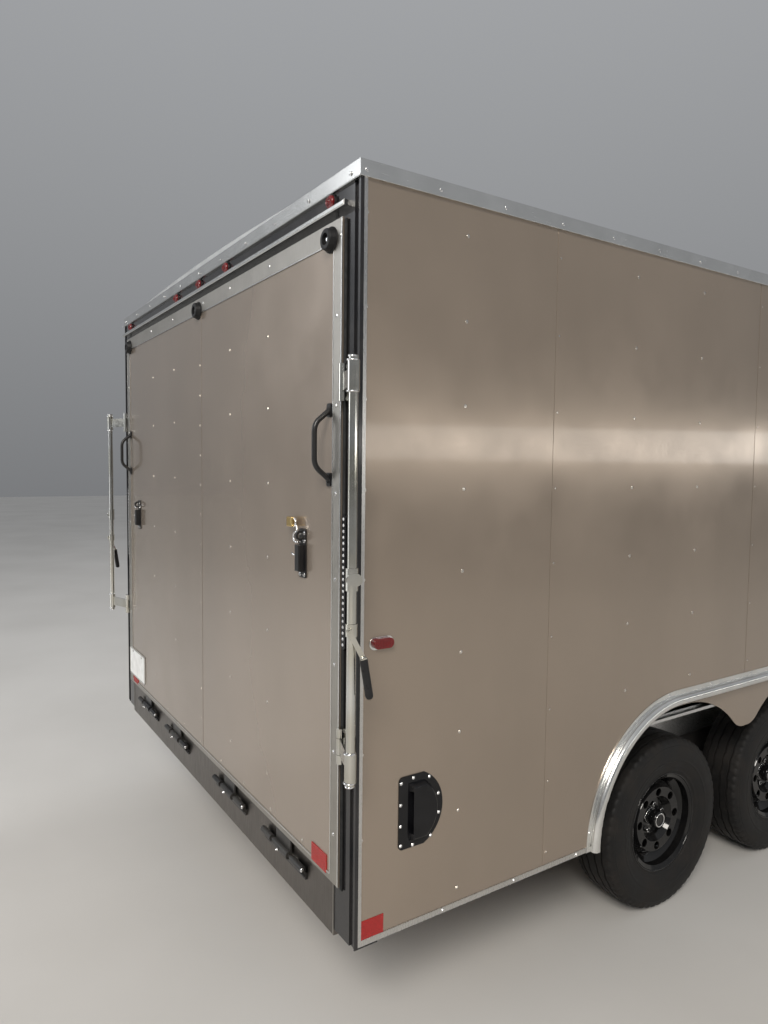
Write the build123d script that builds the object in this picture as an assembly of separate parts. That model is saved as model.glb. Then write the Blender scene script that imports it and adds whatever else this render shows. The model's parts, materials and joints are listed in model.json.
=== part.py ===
from build123d import *
from math import atan2, cos, degrees, pi, radians, sin, sqrt, tan
import os

# Enclosed cargo trailer, millimetres. +Y points to the hitch, +X to the right-hand side, +Z up.
# Every place below is measured from the rear face of the door posts (Y = 0) and the ground (Z = 0).
# The last step moves the whole trailer along Y so that its overall box is centred on the origin.

# Body box, heights from the floor
BODY_WIDTH = 2591
BOX_LENGTH = 4877
NOSE_DEPTH = 610
NOSE_TIP_FLAT = 160
WALL = 45
SKIRT_DROP = 137
WALL_RISE = 2028
ROOF_CROWN = 38
ROOF_THICKNESS = 30
DECK_THICKNESS = 19

# Bright edge trims
ROOF_TRIM_HEIGHT = 46
ROOF_TRIM_PROUD = 6
TRIM_SHEET = 2.5
CORNER_TRIM_WIDTH = 11
POST_FOLD_BACK = 9
POST_FOLD_FACE = 6
SHOULDER_TRIM_WIDTH = 40
BOTTOM_RAIL_HEIGHT = 18
STONE_GUARD_HEIGHT = 610
TRIM_GAP = 1

# Rear frame
POST_WIDTH = 122.5
POST_DEPTH = 80
POST_DROP = 9
POST_GROOVE_WIDTH = 26
POST_GROOVE_DEPTH = 6
SKIN_LAP = 2.5
HEADER_HEIGHT = 112
SILL_DROP = 30
DRIP_RAIL_DROP = 65
DRIP_RAIL_HEIGHT = 15
DRIP_RAIL_REACH = 28
DRIP_RAIL_INSET = 47.5

# Ramp door
RAMP_SIDE_INSET = 81.5
RAMP_TOP_LAP = 27
RAMP_SILL_GAP = 6
RAMP_SKIN_BACK = 5
RAMP_SKIN_FACE = 9
RAMP_BAND_FACE = 11
RAMP_CORE_GAP = 10
RAMP_CORE_DEPTH = 34
BAND_SIDE = 50
BAND_TOP = 58
BAND_BOTTOM = 22

# Ramp hinges, placed from the middle of the door
HINGE_DROP = 44
HINGE_Y = -16
HINGE_KNUCKLE_RADIUS = 11
HINGE_EYE_RADIUS = 13
HINGE_PIN_RADIUS = 5
RUNNING_CLEARANCE = 0.05
HINGE_PLACES = (340, 840)
HINGE_WIDTH = 310
HINGE_MIDDLE = 156
HINGE_STRAP_WIDTH = 112
HINGE_LEAF = 6
HINGE_LEAF_TOP_DROP = 15
HINGE_LEAF_HEIGHT = 22
HINGE_WEB_DROP = 26

# Ramp fittings, heights from the floor or down from the ramp's top
BUMPER_RADIUS = 35
BUMPER_TIP_RADIUS = 29
BUMPER_BORE = 17
BUMPER_REACH = 22
BUMPER_BASE = 8
BUMPER_ROUND = 5
BUMPER_DROP = 49
BUMPER_INSET = 64
HANDLE_INSET = 66
HANDLE_RISE = 1190
HANDLE_LENGTH = 241
HANDLE_REACH = 60
HANDLE_ROD = 8
HANDLE_BEND = 45
HANDLE_PAD_LENGTH = 40
HANDLE_PAD_WIDTH = 24
HANDLE_PAD = 6
HANDLE_SLOPE = 40
HASP_INSET = 234
HASP_RISE = 899
HASP_HEIGHT = 154
HASP_WIDTH = 44
HASP_PLATE = 5
HASP_BODY_WIDTH = 28
HASP_BODY_DEPTH = 21
HASP_BODY_MARGIN_LOW = 20
HASP_BODY_MARGIN_HIGH = 50
STAPLE_RADIUS = 16
STAPLE_BORE = 9
STAPLE_SHEET = 10
STAPLE_DROP = 22
STAPLE_OFFSET = 8

# Bar locks, heights from the floor
LOCK_PIVOT_INSET = 60.5
LOCK_PIVOT_Y = -19
LOCK_PIVOT_RISE = (445, 1483)
LOCK_BAR_END = 52
LOCK_ARM = 154.6
LOCK_ARM_HEIGHT = 48
LOCK_ARM_THICKNESS = 7
LOCK_REST_ANGLE = 70.7
LOCK_BAR_RADIUS = 12.7
LOCK_SLEEVE_RADIUS = 16.5
LOCK_SLEEVE_HEIGHT = 80
LOCK_PLATE_HEIGHT = 104
LOCK_PLATE_WIDTH = 40
LOCK_PLATE_SHEET = 5
LOCK_KNUCKLE_RADIUS = 11
LOCK_PIN_RADIUS = 5
LOCK_EAR_GAP = 1
LOCK_KEEPER_RISE = 953
LOCK_KEEPER_HEIGHT = 60
LOCK_KEEPER_RADIUS = 17
LOCK_KEEPER_WIDTH = 34
LOCK_KEEPER_OFFSET = 8
LOCK_KEEPER_SHEET = 6
LEVER_RISE = 818
LEVER_COLLAR_HEIGHT = 34
LEVER_COLLAR_RADIUS = 16
LEVER_SIDE = 9
LEVER_BOLT = 4
LEVER_DROP = 76
LEVER_SWING = 39
LEVER_WIDTH = 14
LEVER_SHEET = 6
LEVER_GAP = 1
GRIP_DROP = 98
GRIP_SWING = 16
GRIP_WIDTH = 20
GRIP_THICKNESS = 15

# Rear and side lamps
TAIL_LAMP_INSET = 65.5
TAIL_LAMP_WIDTH = 22
TAIL_LAMP_RISE = 723
TAIL_LAMP_LENGTH = 390
TAIL_LAMP_DEPTH = 9
MARKER_RADIUS = 20
MARKER_DEPTH = 16
MARKER_ROUND = 7
REAR_MARKER_INSET = 155.5
REAR_MARKER_MIDDLE = 310
REAR_MARKER_DROP = 25
SIDE_MARKER_Y = 82
SIDE_MARKER_RISE = 747
SIDE_MARKER_LENGTH = 68
SIDE_MARKER_HEIGHT = 30
SIDE_MARKER_DEPTH = 14
FRONT_MARKER_SETBACK = 92
NOSE_LAMP_PLACES = (0.08, 0.86)

# Side vents
VENT_REAR = 147
VENT_LENGTH = 163
VENT_STRAIGHT = 93
VENT_RISE = 111
VENT_HEIGHT = 222
VENT_CORNER = 14
VENT_DEPTH = 22
VENT_FLANGE = 22
VENT_FLANGE_SHEET = 3
VENT_HOOD_SETBACK = 36
VENT_HOOD_TAPER = 22
VENT_HOOD_ROUND = 6
VENT_HOOD_SHEET = 3
VENT_MOUTH_HEIGHT = 128
VENT_MOUTH_LENGTH = 40

# Wheels, placed from the middle of the tyre
WHEEL_RADIUS = 360
AXLE_SPACING = 864
TANDEM_Y = 2004
TYRE_INSET = 182.5
TYRE_WIDTH = 212
TREAD_WIDTH = 168
TREAD_CROWN = 4
SHOULDER_DROP = 20
SHOULDER_REACH = 12
BEAD_INSET = 8
BEAD_LIFT = 4
BULGE_OFFSET = 6
RIM_SEAT_RADIUS = 190.5
RIM_SEAT_GAP = 0.3
RIM_WIDTH = 156
RIM_FLANGE_RADIUS = 206
RIM_FLANGE_WIDTH = 8
RIM_LEDGE = 34
RIM_WELL_DEPTH = 26
RIM_WELL_SLOPE = 16
RIM_WELL_FRONT = 62
RIM_SHEET = 5
DISC_OFFSET = 20
DISC_CENTRE_RADIUS = 77
DISC_RIDGE_RADIUS = 96
DISC_RIDGE_RISE = 33
DISC_SHOULDER_RADIUS = 136
DISC_SHOULDER_RISE = 35
DISC_EDGE_DROP = 7
DISC_HOLE_COUNT = 8
DISC_HOLE_RADIUS = 17
DISC_HOLE_CIRCLE = 116
STUD_COUNT = 5
STUD_CIRCLE = 57.15
STUD_RADIUS = 8
STUD_SHANK = 6
STUD_LENGTH = 16
HUB_FLANGE_RADIUS = 74
HUB_WALL = 12
HUB_HOLE_GAP = 2
HUB_CAP_REACH = 47
HUB_CAP_END = 10
DRUM_RADIUS = 142
DRUM_WALL = 9
DRUM_BACK = 104
DRUM_FRONT = 40
SPINDLE_RADIUS = 22
SPINDLE_END = 26

# Axles
AXLE_TUBE_RADIUS = 30
AXLE_DROP = 102
AXLE_BEND = 76
AXLE_PLATE_GAP = 2
AXLE_PLATE = 16
AXLE_PLATE_MARGIN = 8
AXLE_PAD = 6
AXLE_PAD_WIDTH = 68
AXLE_PAD_LENGTH = 150
CLAMP_PLATE = 8
CLAMP_PLATE_LENGTH = 104
CLAMP_GAP = 1.3
U_BOLT_RADIUS = 6
U_BOLT_OFFSET = 38

# Suspension
SPRING_HALF = 318
SPRING_CAMBER = 38
LEAF_WIDTH = 45
LEAF_THICKNESS = 7
LEAF_COUNT = 4
LEAF_STEP = 0.2
HANGER_INNER = 25
HANGER_PLATE = 6
HANGER_HALF_LENGTH = 35
HANGER_DROP = 26
EYE_RADIUS = 17
EYE_DROP = 46
EYE_BOLT_RADIUS = 7
EQUALIZER_END = 18
EQUALIZER_EDGE = 12
EQUALIZER_PEAK = 24
EQUALIZER_SLOT_END = 30

# Wheel arches
ARCH_OUTER = 515
ARCH_SPREAD = 515
ARCH_BAND = 57
ARCH_PROUD = 26
ARCH_FLANGE = 22
ARCH_FLANGE_SHEET = 3
ARCH_ROUND_OUTER = 17
ARCH_ROUND_INNER = 12
ARCH_TAIL = 2
WELL_INSET = 151
WELL_SHEET = 3
WELL_RISE = 266
WELL_LIP = 12
WELL_LIP_INSET = 20
WELL_LINER_HEAD = 14
WELL_END_GAP = 10
SKIRT_WHEEL_RADIUS = 488
SKIRT_WHEEL_DROP = 47
SKIRT_WHEEL_SPREAD = 200
SKIRT_POINT_RISE = 270
SKIRT_POINT_ROUND = 105
SKIRT_SHEET = 3
SKIRT_INSET = 12

# Frame
RAIL_INSET = 183
RAIL_WIDTH = 51
RAIL_HEIGHT = 152
CROSS_HEIGHT = 76
CROSS_FLANGE = 38
CROSS_SHEET = 4
CROSS_PITCH = 406
TONGUE_ANGLE = 25
TONGUE_TIP_X = 20
TONGUE_HEIGHT = 127
TONGUE_WIDTH = 51
TONGUE_CUT = 30
NOSE_PLATE_SHEET = 6
NOSE_PLATE_BACK = 300
NOSE_PLATE_FRONT = 60
NOSE_PLATE_BACK_HALF = 150
NOSE_PLATE_FRONT_HALF = 60

# Coupler, placed from the tip of the box and the underside of the deck
HITCH_REACH = 993
COUPLER_NECK_LENGTH = 150
COUPLER_DROP = 98
BALL_RADIUS = 29.4
SOCKET_CLEARANCE = 0.6
COUPLER_WALL = 7
COUPLER_WING_LENGTH = 150
COUPLER_WING_HALF = 92
COUPLER_NOSE_HALF = 42
COUPLER_NECK_HALF = 34
COUPLER_NECK_RISE = 12
COUPLER_TOP_ROUND = 14
COUPLER_LIP = 8
LATCH_HALF_WIDTH = 11
LATCH_PIVOT_SETBACK = 44
LATCH_LENGTH = 175
LATCH_HEIGHT = 26
LATCH_TAIL_RISE = 22
LATCH_SHEET = 7

# Jack
JACK_SETBACK = 380
JACK_TUBE_RADIUS = 28.5
JACK_TUBE_WALL = 3.5
JACK_TUBE_BELOW = 238
JACK_TUBE_ABOVE = 442
JACK_TUBE_CAP = 20
JACK_TUBE_GAP = 1.5
JACK_TRAVEL = 300
JACK_END_GAP = 10
JACK_FLANGE_HALF = 130
JACK_FLANGE_BACK = 60
JACK_FLANGE_FRONT = 40
JACK_FLANGE_SHEET = 8
JACK_HEAD_WALL = 8
JACK_HEAD_HEIGHT = 54
JACK_HEAD_RISE = 14
CRANK_RADIUS = 6.5
CRANK_RISE = 26
CRANK_REACH = 156
CRANK_BEND = 14
KNOB_RADIUS = 14
KNOB_LENGTH = 90
JACK_FOOT_SIZE = 150
JACK_FOOT_THICKNESS = 8

# Side door, set back from the front corner of the box
DOOR_WIDTH = 914
DOOR_SETBACK = 223
DOOR_SILL_RISE = 13
DOOR_HEAD_DROP = 185
DOOR_GAP = 6
DOOR_THICKNESS = 40
DOOR_FRAME_WIDTH = 38
DOOR_FRAME_PROUD = 6
DOOR_HINGE_OFFSET = 15
DOOR_HINGE_INSET = 220
DOOR_HINGE_LENGTH = 110
DOOR_HINGE_RADIUS = 8
DOOR_HINGE_PIN = 3.5
DOOR_HINGE_END_GAP = 1
DOOR_LEAF_WIDTH = 32
DOOR_LEAF_GAP = 2
DOOR_LEAF_SHEET = 3
DOOR_STRAP_REACH = 46
DOOR_STRAP_SHEET = 5
LATCH_PLATE_SETBACK = 90
LATCH_PLATE_RISE = 840
LATCH_PLATE_HALF_WIDTH = 45
LATCH_PLATE_HALF_HEIGHT = 55
LATCH_PLATE_SHEET = 5
LATCH_BAR_HALF = 14
LATCH_BAR_REACH = 29

# Wiring inlet box on the drawbar
WIRING_BOX_SETBACK = 130
WIRING_BOX_WIDTH = 70
WIRING_BOX_LENGTH = 100
WIRING_BOX_HEIGHT = 55

# Derived places
HALF = BODY_WIDTH / 2
SPRING_SEAT_Z = WHEEL_RADIUS - AXLE_DROP + AXLE_TUBE_RADIUS + AXLE_PAD
EYE_Z = SPRING_SEAT_Z + (LEAF_COUNT - 1) * LEAF_THICKNESS + SPRING_CAMBER + EYE_RADIUS
RAIL_BOTTOM = EYE_Z + EYE_DROP
DECK_BOTTOM = RAIL_BOTTOM + RAIL_HEIGHT
FLOOR_TOP = DECK_BOTTOM + DECK_THICKNESS
SKIRT_BOTTOM = FLOOR_TOP - SKIRT_DROP
WALL_TOP = FLOOR_TOP + WALL_RISE
POST_INNER = HALF - POST_WIDTH
POST_BOTTOM = SKIRT_BOTTOM - POST_DROP
HEADER_BOTTOM = WALL_TOP - HEADER_HEIGHT
SILL_BOTTOM = SKIRT_BOTTOM - SILL_DROP
RAMP_HALF_WIDTH = HALF - RAMP_SIDE_INSET
RAMP_BOTTOM = FLOOR_TOP + RAMP_SILL_GAP
RAMP_TOP = HEADER_BOTTOM + RAMP_TOP_LAP
HINGE_Z = FLOOR_TOP - HINGE_DROP
HINGE_X = [-x for x in reversed(HINGE_PLACES)] + list(HINGE_PLACES)
BUMPER_Z = RAMP_TOP - BUMPER_DROP
BUMPER_X = (BUMPER_INSET - RAMP_HALF_WIDTH, 0, RAMP_HALF_WIDTH - BUMPER_INSET)
HANDLE_X = RAMP_HALF_WIDTH - HANDLE_INSET
HANDLE_LOW = FLOOR_TOP + HANDLE_RISE
HANDLE_HIGH = HANDLE_LOW + HANDLE_LENGTH
HASP_X = RAMP_HALF_WIDTH - HASP_INSET
HASP_LOW = FLOOR_TOP + HASP_RISE
HASP_HIGH = HASP_LOW + HASP_HEIGHT
LOCK_PIVOT_X = HALF - LOCK_PIVOT_INSET
LOCK_PIVOT_Z = [FLOOR_TOP + rise for rise in LOCK_PIVOT_RISE]
LOCK_BAR_LOW = LOCK_PIVOT_Z[0] - LOCK_BAR_END
LOCK_BAR_HIGH = LOCK_PIVOT_Z[1] + LOCK_BAR_END
LOCK_KEEPER_Z = FLOOR_TOP + LOCK_KEEPER_RISE
LEVER_Z = FLOOR_TOP + LEVER_RISE
TAIL_LAMP_X = HALF - TAIL_LAMP_INSET
TAIL_LAMP_LOW = FLOOR_TOP + TAIL_LAMP_RISE
TAIL_LAMP_HIGH = TAIL_LAMP_LOW + TAIL_LAMP_LENGTH
REAR_MARKER_X = (
    REAR_MARKER_INSET - HALF, -REAR_MARKER_MIDDLE, 0, REAR_MARKER_MIDDLE, HALF - REAR_MARKER_INSET,
)
REAR_MARKER_Z = WALL_TOP - REAR_MARKER_DROP
SIDE_MARKER_Z = FLOOR_TOP + SIDE_MARKER_RISE
VENT_FRONT = VENT_REAR + VENT_LENGTH
VENT_LOW = FLOOR_TOP + VENT_RISE
VENT_HIGH = VENT_LOW + VENT_HEIGHT
NOSE_TIP_Y = BOX_LENGTH + NOSE_DEPTH
NOSE_TIP_HALF = NOSE_TIP_FLAT / 2
TYRE_CENTRE_X = HALF - TYRE_INSET
DISC_X = TYRE_CENTRE_X + DISC_OFFSET
DRUM_BACK_X = DISC_X - DRUM_BACK
DRUM_FRONT_X = DISC_X - DRUM_FRONT
AXLE_BEND_X = DRUM_BACK_X - AXLE_BEND
RAIL_X = TYRE_CENTRE_X - RAIL_INSET
SPRING_X = RAIL_X
WHEEL_Y = {"rear": TANDEM_Y - AXLE_SPACING / 2, "front": TANDEM_Y + AXLE_SPACING / 2}
ARCH_REAR_CENTRE = TANDEM_Y - ARCH_SPREAD
ARCH_FRONT_CENTRE = TANDEM_Y + ARCH_SPREAD
WELL_INNER_X = TYRE_CENTRE_X - WELL_INSET
WELL_TOP = FLOOR_TOP + WELL_RISE
WELL_REAR = ARCH_REAR_CENTRE - ARCH_OUTER + WELL_END_GAP
WELL_FRONT = ARCH_FRONT_CENTRE + ARCH_OUTER - WELL_END_GAP
SKIRT_POINT_Z = SKIRT_BOTTOM + SKIRT_POINT_RISE
COUPLER_BALL_Y = NOSE_TIP_Y + HITCH_REACH
SOCKET_RADIUS = BALL_RADIUS + SOCKET_CLEARANCE
COUPLER_TIP_Y = COUPLER_BALL_Y + SOCKET_RADIUS + COUPLER_WALL + COUPLER_LIP
COUPLER_Z = DECK_BOTTOM - COUPLER_DROP
TONGUE_TIP_Y = COUPLER_BALL_Y - COUPLER_NECK_LENGTH
JACK_Y = COUPLER_BALL_Y - JACK_SETBACK
JACK_TUBE_LOW = DECK_BOTTOM - JACK_TUBE_BELOW
JACK_TUBE_HIGH = DECK_BOTTOM + JACK_TUBE_ABOVE
DOOR_FRONT = BOX_LENGTH - DOOR_SETBACK
DOOR_REAR = DOOR_FRONT - DOOR_WIDTH
DOOR_LOW = FLOOR_TOP + DOOR_SILL_RISE
DOOR_HIGH = WALL_TOP - DOOR_HEAD_DROP
DOOR_HINGE_X = HALF + DOOR_HINGE_OFFSET
DOOR_HINGE_Y = DOOR_FRONT + DOOR_GAP / 2
DOOR_HINGE_Z = (DOOR_LOW + DOOR_HINGE_INSET, (DOOR_LOW + DOOR_HIGH) / 2, DOOR_HIGH - DOOR_HINGE_INSET)
LOCK_REACH = LOCK_ARM + LOCK_BAR_RADIUS + LOCK_KEEPER_SHEET
REAR_TIP_Y = (
    LOCK_PIVOT_Y - LOCK_REACH * cos(radians(LOCK_REST_ANGLE))
    - LOCK_KEEPER_RADIUS * sin(radians(LOCK_REST_ANGLE))
)
CENTRE_SHIFT = -(COUPLER_TIP_Y + REAR_TIP_Y) / 2


# Basic shapes
def block(x0, x1, y0, y1, z0, z1):
    centre = ((x0 + x1) / 2, (y0 + y1) / 2, (z0 + z1) / 2)
    return Pos(*centre) * Box(x1 - x0, y1 - y0, z1 - z0)


def rod_x(radius, x0, x1, y, z):
    return Pos((x0 + x1) / 2, y, z) * Rot(0, 90, 0) * Cylinder(radius, x1 - x0)


def rod_y(radius, y0, y1, x, z):
    return Pos(x, (y0 + y1) / 2, z) * Rot(90, 0, 0) * Cylinder(radius, y1 - y0)


def rod_z(radius, z0, z1, x, y):
    return Pos(x, y, (z0 + z1) / 2) * Cylinder(radius, z1 - z0)


def plan(points, z0, z1):
    """Prism that stands on the X-Y outline `points`, from z0 up to z1."""
    face = make_face(Polyline(*points, close=True))
    return Pos(0, 0, z0) * extrude(face, z1 - z0, dir=(0, 0, 1))


def side_plate(edges, x0, x1):
    """Plate between x0 and x1 whose outline, drawn as edges in (Y, Z), faces sideways."""
    face = Plane.YZ * make_face(edges)
    return Pos(x0, 0, 0) * extrude(face, x1 - x0, dir=(1, 0, 0))


def strap(start, end, width, x0, x1):
    """Round-ended strap between two places in (Y, Z), from x0 to x1."""
    along = (end[0] - start[0], end[1] - start[1])
    slot = SlotCenterToCenter(sqrt(along[0] ** 2 + along[1] ** 2), width)
    middle = Pos((start[0] + end[0]) / 2, (start[1] + end[1]) / 2)
    face = Plane.YZ * (middle * Rot(0, 0, degrees(atan2(along[1], along[0]))) * slot)
    return Pos(x0, 0, 0) * extrude(face, x1 - x0, dir=(1, 0, 0))


def bent_rod(radius, bend, points):
    """Round rod along `points`, every corner rounded to the radius `bend`."""
    path = FilletPolyline(*points, radius=bend)
    return sweep(Plane(path @ 0, z_dir=path % 0) * Circle(radius), path)


def joined(pieces):
    whole = pieces[0]
    for piece in pieces[1:]:
        whole = whole + piece
    return whole


def both_sides(shape):
    return [shape, mirror(shape, Plane.YZ)]


def save(node, *shapes):
    solids = [solid for shape in shapes for solid in shape.solids()]
    whole = Compound(solids) if len(solids) > 1 else solids[0]
    export_step(Pos(0, CENTRE_SHIFT, 0) * whole, f"parts/{node}.step")


def outline(inset):
    """Plan of the box with its V nose, drawn in from the outside by `inset`."""
    half = HALF - inset
    slope = (HALF - NOSE_TIP_HALF) / NOSE_DEPTH
    shoulder = BOX_LENGTH - inset * (sqrt(1 + slope**2) - 1) / slope
    tip_y = NOSE_TIP_Y - inset
    tip = half - (tip_y - shoulder) * slope
    return half, shoulder, tip, tip_y


def body_plan(inset, rear, z0, z1):
    half, shoulder, tip, tip_y = outline(inset)
    right = [(half, rear), (half, shoulder), (tip, tip_y)]
    left = [(-x, y) for x, y in reversed(right)]
    return plan(right + left, z0, z1)


def arch_edges(radius, low):
    """Wheel arch outline in (Y, Z): two quarter rounds joined by a flat top."""
    top = SKIRT_BOTTOM + radius
    rear, front = ARCH_REAR_CENTRE, ARCH_FRONT_CENTRE
    return (
        Line((rear - radius, low), (rear - radius, SKIRT_BOTTOM))
        + RadiusArc((rear - radius, SKIRT_BOTTOM), (rear, top), radius)
        + Line((rear, top), (front, top))
        + RadiusArc((front, top), (front + radius, SKIRT_BOTTOM), radius)
        + Line((front + radius, SKIRT_BOTTOM), (front + radius, low))
        + Line((front + radius, low), (rear - radius, low))
    )


# Chassis
def main_rails():
    rail = block(
        RAIL_X - RAIL_WIDTH / 2, RAIL_X + RAIL_WIDTH / 2,
        POST_DEPTH, BOX_LENGTH, RAIL_BOTTOM, DECK_BOTTOM,
    )
    return both_sides(rail)


def channel_x(x0, x1, y):
    """Cross channel that opens to the rear, its web at y."""
    low = DECK_BOTTOM - CROSS_HEIGHT
    web = block(x0, x1, y - CROSS_SHEET, y, low, DECK_BOTTOM)
    upper = block(x0, x1, y - CROSS_FLANGE, y, DECK_BOTTOM - CROSS_SHEET, DECK_BOTTOM)
    lower = block(x0, x1, y - CROSS_FLANGE, y, low, low + CROSS_SHEET)
    return web + upper + lower


def crossmembers():
    pieces = []
    inner = RAIL_X - RAIL_WIDTH / 2
    outer = RAIL_X + RAIL_WIDTH / 2
    count = int((BOX_LENGTH - POST_DEPTH) / CROSS_PITCH)
    for i in range(1, count + 1):
        y = POST_DEPTH + i * CROSS_PITCH
        pieces.append(channel_x(-inner, inner, y) - tongue_beams(clearance=TRIM_GAP))
        if not WELL_REAR - CROSS_FLANGE < y < WELL_FRONT + CROSS_FLANGE:
            pieces += both_sides(channel_x(outer, HALF - WALL, y))
    return pieces


def tongue_beams(clearance=0):
    """The two converging drawbar tubes, grown by `clearance` for cutting what they pass."""
    half = TONGUE_WIDTH / 2 + clearance
    inside = RAIL_X - RAIL_WIDTH / 2
    low = DECK_BOTTOM - TONGUE_HEIGHT - clearance
    length = (inside + 2 * TONGUE_WIDTH) / sin(radians(TONGUE_ANGLE))
    beam = block(-half, half, -length, 0, low, DECK_BOTTOM + clearance)
    right = Pos(TONGUE_TIP_X, TONGUE_TIP_Y, 0) * Rot(0, 0, TONGUE_ANGLE) * beam
    keep = block(-inside, inside, 0, TONGUE_TIP_Y - TONGUE_CUT, 0, WALL_TOP)
    return (right + mirror(right, Plane.YZ)) & keep


def tongue():
    low = DECK_BOTTOM - TONGUE_HEIGHT
    back, front = TONGUE_TIP_Y - NOSE_PLATE_BACK, TONGUE_TIP_Y - NOSE_PLATE_FRONT
    nose_plate = plan(
        [
            (-NOSE_PLATE_BACK_HALF, back), (NOSE_PLATE_BACK_HALF, back),
            (NOSE_PLATE_FRONT_HALF, front), (-NOSE_PLATE_FRONT_HALF, front),
        ],
        low - NOSE_PLATE_SHEET, low,
    )
    bore = rod_z(JACK_TUBE_RADIUS + JACK_TUBE_GAP, 0, WALL_TOP, 0, JACK_Y)
    return tongue_beams() + nose_plate - bore


def coupler():
    """Pressed coupler: wings over the drawbar, a rounded head over the ball and the latch on top."""
    outer = SOCKET_RADIUS + COUPLER_WALL
    low = COUPLER_Z
    top = COUPLER_Z + 2 * SOCKET_RADIUS
    back = TONGUE_TIP_Y - COUPLER_WING_LENGTH
    throat_back = TONGUE_TIP_Y - TONGUE_CUT
    wing = plan(
        [
            (-COUPLER_WING_HALF, back), (COUPLER_WING_HALF, back),
            (COUPLER_NOSE_HALF, TONGUE_TIP_Y), (-COUPLER_NOSE_HALF, TONGUE_TIP_Y),
        ],
        DECK_BOTTOM, DECK_BOTTOM + COUPLER_WALL,
    )
    throat = block(
        -COUPLER_NECK_HALF, COUPLER_NECK_HALF, throat_back, TONGUE_TIP_Y,
        low + COUPLER_NECK_RISE, DECK_BOTTOM + COUPLER_WALL,
    )

    def head(half, radius, z0, z1):
        edges = (
            Line((-half, throat_back), (half, throat_back))
            + Line((half, throat_back), (radius, COUPLER_BALL_Y))
            + RadiusArc((radius, COUPLER_BALL_Y), (-radius, COUPLER_BALL_Y), -radius)
            + Line((-radius, COUPLER_BALL_Y), (-half, throat_back))
        )
        return Pos(0, 0, z0) * extrude(make_face(edges), z1 - z0, dir=(0, 0, 1))

    shell = head(COUPLER_NECK_HALF, outer, low, top + COUPLER_WALL)
    crown = top + COUPLER_WALL
    upper_edges = shell.edges().filter_by_position(Axis.Z, crown - 1, crown + 1)
    upper_edges = upper_edges.filter_by_position(Axis.Y, throat_back + 1, COUPLER_TIP_Y)
    shell = fillet(upper_edges, COUPLER_TOP_ROUND)
    lip = head(COUPLER_NECK_HALF, outer + COUPLER_LIP, low, low + COUPLER_LIP)
    latch_back = COUPLER_BALL_Y - LATCH_PIVOT_SETBACK - LATCH_LENGTH
    latch_edges = Polyline(
        (COUPLER_BALL_Y - LATCH_PIVOT_SETBACK, crown - LATCH_SHEET),
        (COUPLER_BALL_Y, crown - LATCH_SHEET),
        (COUPLER_BALL_Y, crown + LATCH_SHEET),
        (COUPLER_BALL_Y - LATCH_PIVOT_SETBACK, crown + LATCH_HEIGHT),
        (latch_back + LATCH_PIVOT_SETBACK, crown + LATCH_HEIGHT),
        (latch_back, crown + LATCH_HEIGHT + LATCH_TAIL_RISE),
        (latch_back - LATCH_SHEET, crown + LATCH_HEIGHT + LATCH_TAIL_RISE - LATCH_SHEET),
        (latch_back + LATCH_PIVOT_SETBACK - LATCH_SHEET, crown + LATCH_HEIGHT - LATCH_SHEET),
        (COUPLER_BALL_Y - LATCH_PIVOT_SETBACK, crown + LATCH_HEIGHT - 2 * LATCH_SHEET), close=True,
    )
    latch = side_plate(latch_edges, -LATCH_HALF_WIDTH, LATCH_HALF_WIDTH)
    cavity = rod_z(SOCKET_RADIUS, low - 1, top - COUPLER_LIP, 0, COUPLER_BALL_Y)
    return joined([wing, throat, shell, lip, latch]) - cavity - tongue_beams()


def jack_tube():
    """Outer tube through the drawbar's tip, with its flange, gear head and folded crank."""
    bore_radius = JACK_TUBE_RADIUS - JACK_TUBE_WALL
    tube = rod_z(JACK_TUBE_RADIUS, JACK_TUBE_LOW, JACK_TUBE_HIGH, 0, JACK_Y)
    bore = rod_z(bore_radius, JACK_TUBE_LOW - 1, JACK_TUBE_HIGH - JACK_TUBE_CAP, 0, JACK_Y)
    flange = plan(
        [
            (-JACK_FLANGE_HALF, JACK_Y - JACK_FLANGE_BACK), (JACK_FLANGE_HALF, JACK_Y - JACK_FLANGE_BACK),
            (JACK_FLANGE_HALF - JACK_FLANGE_FRONT, JACK_Y + JACK_FLANGE_FRONT),
            (JACK_FLANGE_FRONT - JACK_FLANGE_HALF, JACK_Y + JACK_FLANGE_FRONT),
        ],
        DECK_BOTTOM, DECK_BOTTOM + JACK_FLANGE_SHEET,
    )
    head_top = JACK_TUBE_HIGH + JACK_HEAD_RISE
    head = rod_z(JACK_TUBE_RADIUS + JACK_HEAD_WALL, head_top - JACK_HEAD_HEIGHT, head_top, 0, JACK_Y)
    head = chamfer(head.edges().group_by(Axis.Z)[-1], JACK_HEAD_WALL)
    arm_z = head_top + CRANK_RISE
    crank = bent_rod(
        CRANK_RADIUS, CRANK_BEND,
        [(0, JACK_Y, head_top - CRANK_RADIUS), (0, JACK_Y, arm_z), (-CRANK_REACH, JACK_Y, arm_z),
         (-CRANK_REACH, JACK_Y, arm_z + KNOB_LENGTH)],
    )
    knob = rod_z(KNOB_RADIUS, arm_z + CRANK_BEND, arm_z + KNOB_LENGTH + CRANK_RADIUS, -CRANK_REACH, JACK_Y)
    return joined([tube, flange, head, crank, knob]) - bore


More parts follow.
